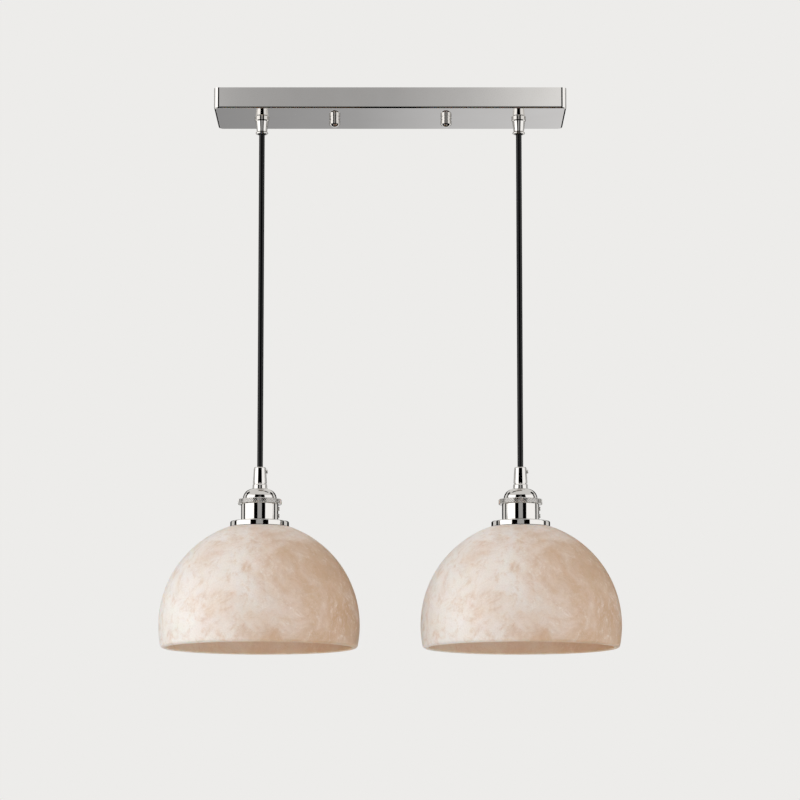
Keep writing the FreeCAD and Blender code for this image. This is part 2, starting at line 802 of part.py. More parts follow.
def terminal_screws():
    """Four clamping screws, driven from below."""
    low = block_bottom - D["terminal_screw_recess"]
    length = low - pole_level
    screws = []
    for y in pole_ys:
        for x in screw_xs:
            name = f"terminal_screw_{len(screws) + 1}"
            shank = cylinder(name, D["terminal_screw_diameter"] / 2, length, x, y, low)
            slot = doc.addObject("Part::Box", f"{name}_slot")
            bind(slot, "Length", D["terminal_screw_diameter"])
            bind(slot, "Width", D["set_screw_slot"] / 2)
            bind(slot, "Height", D["terminal_screw_recess"])
            left = x - D["terminal_screw_diameter"] / 2
            place(slot, left, y - D["set_screw_slot"] / 4, low)
            screws.append(minus(f"{name}_slotted", shank, slot))
    return keep(combined("Part::Compound", "terminal_screws", screws))


def block_screw():
    """The screw that holds the terminal block up to the bar."""
    length = block_bottom
    made = screw(
        "block_screw",
        0,
        block_bottom,
        D["block_screw_head_diameter"],
        D["block_screw_head_height"],
        D["block_screw_diameter"],
        length,
        head_up=False,
    )
    return keep(made)


# ---------------------------------------------------------------- cord grips and cables


def top_grip(side_name, side):
    """The tapered grip under the canopy: threaded nipple, collar, cone, and a beaded open mouth."""
    collar = D["top_grip_collar_diameter"] / 2
    shoulder = D["top_grip_shoulder_diameter"] / 2
    neck = D["top_grip_neck_diameter"] / 2
    bead = D["top_grip_bead_diameter"] / 2
    bead_length = D["top_grip_bead_length"]
    bead_round = bead_length / 2
    length = D["top_grip_length"]
    chamber = cable_radius + D["swing_gap"] + D["collet_wall"] + D["collet_gap"]
    roof = D["pivot_inset"] + D["chamber_past_pivot"]
    collar_low = length - D["top_grip_collar_length"]
    nipple_end = length + D["canopy_sheet"] + D["nipple_length"]
    outline = [
        (chamber, 0),
        (bead - bead_round, 0),
        (bead, bead_round, ("left", bead_round)),
        (bead - bead_round, bead_length, ("left", bead_round)),
        (neck, bead_length),
        (shoulder, collar_low),
        (collar, collar_low + D["top_grip_collar_length"] / 3),
        (collar, length),
        (nipple_radius, length),
        (nipple_radius, nipple_end),
        (cable_bore, nipple_end),
        (cable_bore, roof),
        (chamber, roof),
    ]
    return turned_piece(f"top_grip_{side_name}", outline, x=half_spacing * side, depth=mouth)


def collet(side_name, side):
    """The nylon ring in the grip's mouth that the cable swings in."""
    inner = cable_radius + D["swing_gap"]
    outer = inner + D["collet_wall"]
    half = D["collet_height"] / 2
    label = f"collet_{side_name}"
    return washer(label, inner, outer, D["collet_height"], half_spacing * side, pivot + half)


def cable_tail(side_name, side):
    """The cable's upper end, clamped in the grip, up to where its sheath is cut."""
    label = f"cable_tail_{side_name}"
    length = chamber_roof - sheath_top
    tail = cylinder(label, cable_radius, length, half_spacing * side, 0, chamber_roof)
    return keep(tail)


def hanging_cable(side_name, side):
    """The straight cable that carries a pendant, from the collet into the lampholder."""
    top = pivot - D["cable_past_pivot"]
    label = f"hanging_cable_{side_name}"
    cable = cylinder(label, cable_radius, cable_bottom - top, half_spacing * side, 0, cable_bottom)
    return keep(cable)


def ring_places(middle_x, start_angles):
    """Where the three cores leave the sheath."""
    reach = D["core_ring_radius"].value
    places = {}
    for name, angle in start_angles.items():
        turn = math.radians(angle)
        places[name] = (middle_x + reach * math.cos(turn), reach * math.sin(turn))
    return places


def canopy_cores(side_name, side):
    """Live and neutral run to the terminal block, and earth to a lug under its own screw."""
    middle = half_spacing.value
    start = ring_places(middle, {"live": -60, "neutral": 180, "earth": 60})
    low = -sheath_top.value
    entry_x = D["insert_length"].value / 2
    entry_z = -pole_level.value
    lug_x = (half_studs + D["earth_screw_offset"]).value
    lug_z = -(bar_end_underside + D["lug_thickness"] / 2).value
    barrel_start = lug_x + (D["lug_diameter"] / 2 - D["lug_barrel_bite"]).value
    barrel_end = barrel_start + D["lug_barrel_length"].value
    barrel_gap = 2 * D["running_clearance"]
    barrel_z = -(bar_end_underside + barrel_gap + D["lug_barrel_diameter"] / 2).value
    ends = {
        "live": (entry_x, pole_ys[0].value, entry_z),
        "neutral": (entry_x, pole_ys[1].value, entry_z),
        "earth": (barrel_end, 0.0, barrel_z),
    }
    routes = {"live": LIVE_ROUTE, "neutral": NEUTRAL_ROUTE, "earth": EARTH_ROUTE}
    solids = []
    for name, route in routes.items():
        x, y = start[name]
        points = [(x, y, low), (x, y, -CORE_BEND_DEPTH[name]), *route, ends[name]]
        mirrored = [(px * side, py, pz) for px, py, pz in points]
        solids.append(core_tube(f"canopy_cores_{side_name} {name}", mirrored))
    # the lug: a flat ring under the screw head and a barrel round the core's end
    thickness = D["lug_thickness"].value
    eye_bottom = Vector(lug_x * side, 0, lug_z - thickness / 2)
    eye = Part.makeCylinder(D["lug_diameter"].value / 2, thickness, eye_bottom)
    barrel_radius = D["lug_barrel_diameter"].value / 2
    barrel = Part.makeCylinder(
        barrel_radius,
        barrel_end - barrel_start,
        Vector(barrel_start * side, 0, barrel_z),
        Vector(side, 0, 0),
    )
    hole = Part.makeCylinder(D["earth_screw_diameter"].value / 2, thickness, eye_bottom)
    solids.append(eye.fuse(barrel).cut(hole).removeSplitter())
    return loose_shape(f"canopy_cores_{side_name}", solids)


# ---------------------------------------------------------------- lampholder


def holder_grip(side_name, side):
    """The tapered grip on a lampholder, with a groove near its base and a hole for a set screw."""
    base = D["grip_base_diameter"] / 2
    waist = D["grip_waist_diameter"] / 2
    top = D["grip_top_diameter"] / 2
    top_round = D["grip_top_round"]
    foot = D["spigot_length"]
    groove = foot + D["grip_groove_height"]
    half_groove = D["grip_groove_width"] / 2
    groove_radius = waist - D["grip_groove_depth"]
    height = foot + D["grip_length"]
    outline = [
        (cable_bore, 0),
        (nipple_radius, 0),
        (nipple_radius, foot),
        (base, foot),
        (base, groove - half_groove * 3),
        (waist, groove - half_groove),
        (groove_radius, groove - half_groove),
        (groove_radius, groove + half_groove),
        (waist, groove + half_groove),
        (top, height - top_round),
        (top - top_round, height, ("left", top_round)),
        (cable_bore, height),
    ]
    body = new_body(f"holder_grip_{side_name}", x=half_spacing * side, depth=spigot_end)
    revolve(body, "turned", outline)
    hole = plane_sketch(body, "tapping", "YZ_Plane")
    add_circle(hole, 0, height - D["set_screw_drop"], D["set_screw_diameter"] / 2)
    tapped = body.newObject("PartDesign::Pocket", f"holder_grip_{side_name}_tapped")
    tapped.Profile = hole
    tapped.Reversed = True
    bind(tapped, "Length", D["grip_base_diameter"])
    return keep(body)


def side_screw(label, x, surface, depth, diameter, head_diameter, head_length, length, slot):
    """A slotted screw that points at the axis from +X, with its head outside the surface."""
    head = cylinder(f"{label}_head", head_diameter / 2, head_length, x + surface, 0, depth, "x")
    shank = cylinder(f"{label}_shank", diameter / 2, length, x + surface - length, 0, depth, "x")
    whole = combined("Part::MultiFuse", f"{label}_blank", [head, shank])
    cutter = doc.addObject("Part::Box", f"{label}_slot")
    bind(cutter, "Length", slot)
    bind(cutter, "Width", head_diameter)
    bind(cutter, "Height", slot)
    left = x + surface + head_length - slot
    place(cutter, left, -(head_diameter / 2), depth + slot / 2)
    return minus(label, whole, cutter)


def grip_screw(side_name, side):
    """The set screw that pinches the cable in the lampholder's grip."""
    depth = grip_top + D["set_screw_drop"]
    surface = D["grip_top_diameter"] / 2 + D["set_screw_stand_off"]
    made = side_screw(
        f"grip_screw_{side_name}",
        half_spacing * side,
        surface,
        depth,
        D["set_screw_diameter"],
        D["set_screw_head_diameter"],
        D["set_screw_head_length"],
        surface - cable_radius,
        D["set_screw_slot"],
    )
    return keep(made)


def holder_cap(side_name, side):
    """The domed cap, with a neck through the union ring and a foot clamped on the barrel."""
    foot_radius = D["cap_foot_diameter"] / 2
    neck = D["cap_neck_diameter"] / 2
    dome = D["cap_diameter"] / 2
    crown = D["cap_crown_diameter"] / 2
    wall = D["cap_sheet"]
    foot = D["cap_foot_thickness"]
    low = foot + D["ring_lip"] + D["cap_neck_length"]
    high = low + D["cap_height"]
    hole = nipple_radius + D["running_clearance"]
    outline = [
        (neck - wall, 0),
        (foot_radius, 0),
        (foot_radius, foot),
        (neck, foot),
        (neck, low),
        (dome, low),
        (crown, high - wall / 2, ("left", D["cap_dome_radius"])),
        (crown, high),
        (hole, high),
        (hole, high - wall * 2),
        (crown - wall, high - wall * 2),
        (neck - wall, low + wall, ("right", D["cap_dome_radius"])),
    ]
    return turned_piece(f"holder_cap_{side_name}", outline, x=half_spacing * side, depth=cap_foot)


def union_ring(side_name, side):
    """The ring that clamps the cap's foot on the barrel."""
    outer = D["ring_diameter"] / 2
    bore = holder_radius + D["running_clearance"]
    lip_bore = D["cap_neck_diameter"] / 2 + D["running_clearance"]
    height = D["ring_height"]
    edge = D["ring_edge_round"]
    chamfer = D["ring_chamfer"]
    outline = [
        (bore, 0),
        (outer - chamfer, 0),
        (outer, chamfer / 2),
        (outer, height - edge),
        (outer - edge, height, ("left", edge)),
        (lip_bore, height),
        (lip_bore, height - D["ring_lip"]),
        (bore, height - D["ring_lip"]),
    ]
    return turned_piece(f"union_ring_{side_name}", outline, x=half_spacing * side, depth=ring_bottom)


def holder_barrel(side_name, side):
    """The polished barrel of the lampholder, with a bead round its foot."""
    bead = D["bead_diameter"] / 2
    height = holder_bottom - cap_foot
    outline = [
        (holder_bore, 0),
        (bead, 0),
        (bead, D["bead_height"] * 0.7),
        (holder_radius, D["bead_height"]),
        (holder_radius, height),
        (holder_bore, height),
    ]
    label = f"holder_barrel_{side_name}"
    body = new_body(label, x=half_spacing * side, depth=holder_bottom)
    revolve(body, "turned", outline)
    holes = plane_sketch(body, "tapping", "YZ_Plane")
    upper = holder_bottom - ring_bottom - D["barrel_screw_depth"]
    for level in (upper, upper - D["barrel_screw_spacing"]):
        add_circle(holes, 0, level, D["barrel_screw_diameter"] / 2)
    tapped = body.newObject("PartDesign::Pocket", f"{label}_tapped")
    tapped.Profile = holes
    tapped.Reversed = True
    bind(tapped, "Length", D["bead_diameter"])
    return keep(body)


def barrel_screws(side_name, side):
    """Two small screws, one above the other, that fix the barrel to the skirt inside it."""
    screws = []
    for number in range(2):
        depth = ring_bottom + D["barrel_screw_depth"] + D["barrel_screw_spacing"] * number
        made = side_screw(
            f"barrel_screw_{side_name}_{number + 1}",
            half_spacing * side,
            holder_radius,
            depth,
            D["barrel_screw_diameter"],
            D["barrel_screw_head_diameter"],
            D["barrel_screw_head_length"],
            holder_radius - skirt_radius,
            D["set_screw_slot"],
        )
        screws.append(made)
    return keep(combined("Part::Compound", f"barrel_screws_{side_name}", screws))


def shade_flange(side_name, side):
    """The flat cup that presses on the top of the shade, with a hub round the skirt."""
    outer = D["flange_diameter"] / 2
    wall = D["flange_sheet"]
    hub = thread_bore + D["flange_hub"]
    height = D["flange_height"]
    edge = D["flange_edge_round"]
    outline = [
        (thread_bore, 0),
        (hub, 0),
        (hub, height - wall),
        (outer - wall, height - wall),
        (outer - wall, 0),
        (outer, 0),
        (outer, height - edge),
        (outer - edge, height, ("left", edge)),
        (thread_bore, height),
    ]
    label = f"shade_flange_{side_name}"
    return turned_piece(label, outline, x=half_spacing * side, depth=flange_bottom)


def gaskets(side_name, side):
    """Soft washers above and below the stone."""
    inner = D["shade_hole_diameter"] / 2
    for name, diameter, depth in (
        ("upper_gasket", D["flange_diameter"], shade_top),
        ("lower_gasket", D["shade_ring_diameter"], shade_ring_top),
    ):
        outer = diameter / 2 - D["gasket_inset"]
        label = f"{name}_{side_name}"
        washer(label, inner, outer, D["gasket_thickness"], half_spacing * side, depth)


def shade(side_name, side):
    """The turned alabaster bowl, hung mouth down.

    One arc whose middle lies just past the axis makes the outside, and one about the same middle
    makes the inside, so the wall is even. The top is flat, with a hole for the lampholder.
    """
    top = D["shade_height"]
    wall = D["shade_wall"]
    hole = D["shade_hole_diameter"] / 2
    land = D["shade_land_radius"]
    outside = D["shade_curve_radius"]
    inside = outside - wall
    rim = D["shade_rim_round"]
    lip = D["shade_lip_round"]
    middle_r = D["shade_diameter"] / 2 - outside
    reach = land - middle_r
    middle_z = top - root(outside * outside - reach * reach)

    def curve_at(radius, z):
        rise = z - middle_z
        return middle_r + root(radius * radius - rise * rise)

    outline = [
        (hole, top),
        (land, top),
        (curve_at(outside, rim), rim, ("right", outside)),
        (curve_at(outside, rim) - rim, 0, ("right", rim)),
        (curve_at(inside, lip) + lip, 0),
        (curve_at(inside, lip), lip, ("right", lip)),
        (curve_at(inside, top - wall), top - wall, ("left", inside)),
        (hole, top - wall),
    ]
    label = f"alabaster_shade_{side_name}"
    return turned_piece(label, outline, x=half_spacing * side, depth=shade_rim)


def shade_ring(side_name, side):
    """The notched ring that screws up the skirt and clamps the shade from inside."""
    outer = D["shade_ring_diameter"] / 2
    hub = thread_bore + D["shade_ring_hub"]
    height = D["shade_ring_height"]
    plate = D["shade_ring_plate"]
    outline = [
        (thread_bore, 0),
        (hub, 0),
        (hub, height - plate),
        (outer, height - plate),
        (outer, height),
        (thread_bore, height),
    ]
    label = f"shade_ring_{side_name}"
    body = new_body(label, x=half_spacing * side, depth=shade_ring_bottom)
    revolve(body, "turned", outline)
    sketch = plane_sketch(body, "notch_outline", "XY_Plane")
    add_circle(sketch, outer, 0, D["shade_ring_notch_radius"])
    notch = cut_through(body, sketch, "notch")
    doc.recompute()
    pattern = body.newObject("PartDesign::PolarPattern", f"{label}_notches")
    pattern.Originals = [notch]
    pattern.Axis = (sketch, ["N_Axis"])
    pattern.Angle = 360
    bind(pattern, "Occurrences", D["shade_ring_notches"])
    body.Tip = pattern
    return keep(body)


def threaded_skirt(side_name, side):
    """The tube that the barrel, the flange and the shade ring screw on to."""
    height = skirt_bottom - skirt_top
    ledge = D["skirt_ledge"]
    outline = [
        (skirt_bore, 0),
        (skirt_radius, 0),
        (skirt_radius, height),
        (skirt_bore - ledge, height),
        (skirt_bore - ledge, height - ledge),
        (skirt_bore, height - ledge),
    ]
    label = f"threaded_skirt_{side_name}"
    return turned_piece(label, outline, x=half_spacing * side, depth=skirt_bottom)


def insulator(side_name, side):
    """The ceramic inside, with a cavity for the screw shell and a shoulder under the ledge."""
    height = insulator_bottom - insulator_top
    cavity = D["shell_diameter"] / 2 + D["running_clearance"]
    roof = insulator_bottom - cavity_roof
    shoulder = insulator_bottom - skirt_top - D["skirt_ledge"]
    top_radius = skirt_bore - D["skirt_ledge"] - D["insulator_clearance"]
    outline = [
        (cavity, 0),
        (insulator_radius, 0),
        (insulator_radius, shoulder),
        (top_radius, shoulder),
        (top_radius, height),
        (0, height),
        (0, roof),
        (cavity, roof),
    ]
    label = f"insulator_{side_name}"
    return turned_piece(label, outline, x=half_spacing * side, depth=insulator_bottom)


def screw_shell(side_name, side):
    """The brass screw shell that the bulb's cap turns into."""
    outer = D["shell_diameter"] / 2
    inner = outer - D["shell_sheet"]
    low = insulator_bottom - D["shell_inset"]
    height = low - cavity_roof
    label = f"screw_shell_{side_name}"
    return washer(label, inner, outer, height, half_spacing * side, low)


def centre_contact(side_name, side):
    """The brass contact in the roof of the cavity, with a raised tip for the bulb."""
    radius = D["contact_diameter"] / 2
    tip = D["contact_tip"]
    height = D["contact_thickness"] + tip
    outline = [
        (0, 0),
        (radius / 2, 0),
        (radius / 2 + tip, tip),
        (radius, tip),
        (radius, height),
        (0, height),
    ]
    return turned_piece(f"centre_contact_{side_name}", outline, x=half_spacing * side, depth=bulb_tip)


def post_places(middle_x):
    reach = D["post_radius"].value
    angles = {"live": 180, "neutral": 0, "earth": 90}
    places = {}
    for name, angle in angles.items():
        turn = math.radians(angle)
        places[name] = (middle_x + reach * math.cos(turn), reach * math.sin(turn))
    return places


def terminal_posts(side_name, side):
    """Three brass posts on the insulator, one for each core."""
    posts = []
    x = half_spacing * side
    offsets = [(-D["post_radius"], 0), (D["post_radius"], 0), (0, D["post_radius"])]
    for number, (dx, y) in enumerate(offsets, start=1):
        name = f"terminal_post_{side_name}_{number}"
        radius = D["post_diameter"] / 2
        posts.append(cylinder(name, radius, D["post_height"], x + dx, y, insulator_top))
    return keep(combined("Part::Compound", f"terminal_posts_{side_name}", posts))


def holder_cores(side_name, side):
    """The three cores inside the cap, from the end of the sheath to the posts."""
    middle = half_spacing.value * side
    start = ring_places(middle, {"live": 210, "neutral": -30, "earth": 90})
    ends = post_places(middle)
    high = -cable_bottom.value
    low = -post_top.value
    fall = high - low
    solids = []
    for name, (x, y) in start.items():
        end_x, end_y = ends[name]
        points = [
            (x, y, high),
            (x, y, high - fall * 0.3),
            (end_x, end_y, low + fall * 0.3),
            (end_x, end_y, low),
        ]
        solids.append(core_tube(f"holder_cores_{side_name} {name}", points))
    return loose_shape(f"holder_cores_{side_name}", solids)


# ---------------------------------------------------------------- bulb


def bulb_cap(side_name, side):
    """The bulb's screw cap, with its tip contact on top and a glass insulator under it."""
    radius = D["bulb_cap_diameter"] / 2
    tip = D["bulb_tip_diameter"] / 2
    length = D["bulb_cap_length"]
    shoulder = length - D["bulb_tip_height"] - D["bulb_insulator_height"]
    inner = radius - D["bulb_cap_sheet"]
    outline = [
        (inner, 0),
        (radius, 0),
        (radius, shoulder),
        (tip, length - D["bulb_tip_height"]),
        (tip / 2, length),
        (0, length),
        (0, shoulder),
        (inner, shoulder),
    ]
    return turned_piece(f"bulb_cap_{side_name}", outline, x=half_spacing * side, depth=bulb_cap_bottom)


def bulb_globe(side_name, side):
    """The pear-shaped glass: a ball at the bottom drawn in to a neck inside the cap."""
    ball = D["bulb_diameter"] / 2
    wall = D["bulb_glass_wall"]
    neck = D["bulb_neck_diameter"] / 2 - D["running_clearance"]
    neck_inside = neck - wall
    length = D["bulb_glass_length"]
    neck_low = length - D["bulb_cap_length"] / 2
    # the flank leaves the ball at 35 degrees above its widest level
    flank_cos = math.cos(math.radians(35))
    flank_sin = math.sin(math.radians(35))
    inner_ball = ball - wall
    outline = [
        (0, 0),
        (ball, ball, ("left", ball)),
        (ball * flank_cos, ball + ball * flank_sin, ("left", ball)),
        (neck, neck_low),
        (neck, length),
        (neck_inside, length),
        (neck_inside, neck_low),
        (inner_ball * flank_cos, ball + inner_ball * flank_sin),
        (inner_ball, ball, ("right", inner_ball)),
        (0, wall, ("right", inner_ball)),
    ]
    bottom = bulb_cap_bottom + D["bulb_glass_length"] - D["bulb_cap_length"] / 2
    return turned_piece(f"bulb_globe_{side_name}", outline, x=half_spacing * side, depth=bottom)


# ---------------------------------------------------------------- assembly


def build_canopy_group():
    canopy()
    crossbar()
    stud_screws()
    bore = D["stud_diameter"] / 2 + D["running_clearance"] / 2
    nut_underside = bar_end_underside + D["stud_nut_height"]
    hex_nuts(
        "stud_nuts",
        half_studs,
        D["stud_nut_flats"],
        D["stud_nut_height"],
        bore,
        nut_underside,
    )
    cap_nuts()
    earth_screws()
    terminal_block()
    terminal_inserts()
    terminal_screws()
    block_screw()
    hex_nuts(
        "grip_lock_nuts",
        half_spacing,
        D["lock_nut_flats"],
        D["lock_nut_height"],
        nipple_radius + D["running_clearance"] / 2,
        canopy_floor,
    )


PENDANT_PIECES = [
    top_grip,
    collet,
    cable_tail,
    canopy_cores,
    hanging_cable,
    holder_grip,
    grip_screw,
    holder_cap,
    union_ring,
    holder_barrel,
    barrel_screws,
    shade_flange,
    gaskets,
    shade,
    shade_ring,
    threaded_skirt,
    insulator,
    screw_shell,
    centre_contact,
    terminal_posts,
    holder_cores,
    bulb_cap,
    bulb_globe,
]


def check(thing):
    """Stops at a piece that didn't build."""
    shape = thing.Shape
    if shape.isNull() or not shape.isValid() or not shape.Solids:
        raise RuntimeError(f"{thing.Label} has no valid solid")


def main():
    build_canopy_group()
    for side_name, side in SIDES.items():
        for piece in PENDANT_PIECES:
            piece(side_name, side)
    doc.recompute()
    for thing in doc.Objects:
        if "Invalid" in thing.State or "Error" in thing.State:
            raise RuntimeError(f"{thing.Label} failed: {thing.State}")
    for thing in sub_parts:
        check(thing)
    os.makedirs("parts", exist_ok=True)
    for thing in sub_parts:
        thing.Shape.exportStep(f"parts/{thing.Label}.step")
    print(f"{len(sub_parts)} sub-parts, {sum(len(t.Shape.Solids) for t in sub_parts)} solids")


main()
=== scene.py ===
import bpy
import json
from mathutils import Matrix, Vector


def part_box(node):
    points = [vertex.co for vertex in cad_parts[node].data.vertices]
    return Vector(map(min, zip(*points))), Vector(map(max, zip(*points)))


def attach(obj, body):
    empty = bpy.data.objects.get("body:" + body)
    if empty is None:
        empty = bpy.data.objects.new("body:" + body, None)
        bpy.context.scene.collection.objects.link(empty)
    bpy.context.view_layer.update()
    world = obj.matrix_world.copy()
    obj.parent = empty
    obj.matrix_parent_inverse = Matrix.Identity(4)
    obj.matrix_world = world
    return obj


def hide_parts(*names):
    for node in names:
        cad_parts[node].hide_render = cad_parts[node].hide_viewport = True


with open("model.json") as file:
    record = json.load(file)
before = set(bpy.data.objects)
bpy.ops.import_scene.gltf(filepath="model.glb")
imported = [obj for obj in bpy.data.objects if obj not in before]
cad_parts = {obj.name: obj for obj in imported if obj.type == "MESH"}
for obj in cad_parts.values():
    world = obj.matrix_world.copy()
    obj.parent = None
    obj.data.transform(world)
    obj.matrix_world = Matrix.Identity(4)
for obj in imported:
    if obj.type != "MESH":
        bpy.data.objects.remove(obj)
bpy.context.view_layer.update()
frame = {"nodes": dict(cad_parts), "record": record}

# Two turned alabaster bowls hang on black flex under a long polished canopy. The rigid pieces come
# from the frame and are finished here; the flex, the core insulation and the ring knurls are made
# here. Lengths are in metres. X runs along the canopy, -Y faces the viewer, and Z is 0 at the
# ceiling.
import json
import math

import bmesh
import bpy
from mathutils import Vector

MM = 0.001
SIDES = {"left": -1, "right": 1}
HALF_SPACING = 147.5 * MM  # from the middle of the canopy to each flex


def new_object(name, data):
    """Gives an object that carries the data, placed in the scene."""
    made = bpy.data.objects.new(name, data)
    bpy.context.scene.collection.objects.link(made)
    return made


# ---------------------------------------------------------------- camera

# The eye is low and far off: the canopy's underside shows as a thin band and each bowl's far rim
# just clears its near one.
EYE = (0.0111, -3.8719, -0.9023)
LOOKING_UP = 8.11  # degrees above level

camera_data = bpy.data.cameras.new("camera")
camera_data.lens = 154.9
camera_data.sensor_width = 36.0
camera_data.clip_end = 100.0
camera = new_object("camera", camera_data)
camera.location = EYE
camera.rotation_euler = (math.radians(90 + LOOKING_UP), 0, 0)
bpy.context.scene.camera = camera


# ---------------------------------------------------------------- node helpers

# A Mix node has a set of sockets for each type of data, with the same names in each, so they go
# by number.
SHARE = 0
COLOUR_A, COLOUR_B, MIXED_COLOUR = 6, 7, 2
NUMBER_A, NUMBER_B, MIXED_NUMBER = 2, 3, 0

# Nearly all of a noise's values lie between these two.
NOISE_LOW, NOISE_HIGH = 0.3, 0.7


def linear(code):
    """Turns an sRGB hex colour into the linear RGBA that a socket takes."""
    channels = [int(code[i : i + 2], 16) / 255 for i in (1, 3, 5)]
    bright = [c / 12.92 if c <= 0.04045 else ((c + 0.055) / 1.055) ** 2.4 for c in channels]
    return (*bright, 1.0)


def plug(tree, node, sockets):
    """Sets a node's inputs, each from a value, a hex colour or another node's output."""
    for name, value in sockets.items():
        if isinstance(value, bpy.types.NodeSocket):
            tree.links.new(value, node.inputs[name])
        elif isinstance(value, str) and value.startswith("#"):
            node.inputs[name].default_value = linear(value)
        else:
            node.inputs[name].default_value = value
    return node


def add(tree, kind, sockets=None, stops=None, **settings):
    """Adds one node with its settings and inputs; stops are a ramp's places and hex colours."""
    node = tree.nodes.new(kind)
    for name, value in settings.items():
        setattr(node, name, value)
    if stops:
        elements = node.color_ramp.elements
        while len(elements) < len(stops):
            elements.new(0.5)
        for element, (place, code) in zip(elements, stops):
            element.position = place
            element.color = linear(code)
    return plug(tree, node, sockets or {})


def find(tree, kind):
    """Gives the first node of a kind in a tree."""
    return next(node for node in tree.nodes if node.type == kind)


def new_material(name):
    """Gives an empty material with a Principled shader on its output."""
    material = bpy.data.materials.new(name)
    material.use_nodes = True
    tree = material.node_tree
    tree.nodes.clear()
    shader = add(tree, "ShaderNodeBsdfPrincipled")
    add(tree, "ShaderNodeOutputMaterial", {"Surface": shader.outputs["BSDF"]})
    return material, tree, shader


def copied(material, ending):
    """Gives a copy of a material under a longer name, with the copy's tree and shader."""
    made = material.copy()
    made.name = f"{material.name} {ending}"
    return made, made.node_tree, find(made.node_tree, "BSDF_PRINCIPLED")


def height_band(tree, low, high):
    """Gives the height of each point, and a mask that is 1 between two heights."""
    place = add(tree, "ShaderNodeTexCoord").outputs["Object"]
    height = add(tree, "ShaderNodeSeparateXYZ", {"Vector": place}).outputs["Z"]
    above = add(tree, "ShaderNodeMath", {0: height, 1: low}, operation="GREATER_THAN")
    below = add(tree, "ShaderNodeMath", {0: height, 1: high}, operation="LESS_THAN")
    within = add(
        tree,
        "ShaderNodeMath",
        {0: above.outputs["Value"], 1: below.outputs["Value"]},
        operation="MULTIPLY",
    )
    return height, within.outputs["Value"]


# ---------------------------------------------------------------- materials


def drifting(name, tones, size, roughness, relief, detail, own, stretch=(1, 1, 1)):
    """A finish that drifts between two tones and two roughnesses with a noise of the given size,
    which also gives it a relief of the given height. The noise is drawn out along the axes that
    stretch makes small. own holds the shader's other values."""
    material, tree, shader = new_material(name)
    place = add(tree, "ShaderNodeTexCoord").outputs["Object"]
    drawn = add(tree, "ShaderNodeMapping", {"Vector": place, "Scale": stretch}).outputs["Vector"]
    drift = add(
        tree,
        "ShaderNodeTexNoise",
        {"Vector": drawn, "Scale": 1 / size, "Detail": detail},
    ).outputs["Fac"]
    tone = add(
        tree,
        "ShaderNodeMix",
        {SHARE: drift, COLOUR_A: tones[0], COLOUR_B: tones[1]},
        data_type="RGBA",
    ).outputs[MIXED_COLOUR]
    haze = add(
        tree,
        "ShaderNodeMapRange",
        {
            "Value": drift,
            "From Min": NOISE_LOW,
            "From Max": NOISE_HIGH,
            "To Min": roughness[0],
            "To Max": roughness[1],
        },
    ).outputs["Result"]
    bump = add(
        tree,
        "ShaderNodeBump",
        {"Height": drift, "Strength": 1.0, "Distance": relief},
    ).outputs["Normal"]
    plug(tree, shader, {"Base Color": tone, "Roughness": haze, "Normal": bump, **own})
    return material


def metal(name, tones, roughness, cloud, ripple):
    """A plated or turned metal: its clouds drift slowly and its ripple is faint."""
    return drifting(name, tones, cloud, roughness, ripple, 4.0, {"Metallic": 1.0})


def polymer(name, tones, roughness, grain, tooth, stretch=(1, 1, 1), own=None):
    """A moulded or extruded plastic, or a ceramic or rubber: satin or dull, with a fine grain."""
    return drifting(name, tones, grain, roughness, tooth, 3.0, own or {}, stretch)


# How far across each pattern of the alabaster is.
EDDIES = 80 * MM
CLOUDS = 45 * MM
MOTTLING = 11 * MM
WISPS = 26 * MM
FROST = 4.5 * MM
STRATA = 50 * MM
CRYSTALS = 1.5 * MM  # the real ones are 0.3 mm, so these are drawn coarse enough to show

# A bowl's patterns are centred at this height. Its inner wall is an arc, whose centre lies below
# that and past the bowl's axis.
BOWL_LEVEL = -570 * MM
ARC_DOWN = 36.6 * MM
ARC_PAST_AXIS = 4.2 * MM
ARC_RADIUS = 115.5 * MM
ARC_FADE = 2 * MM


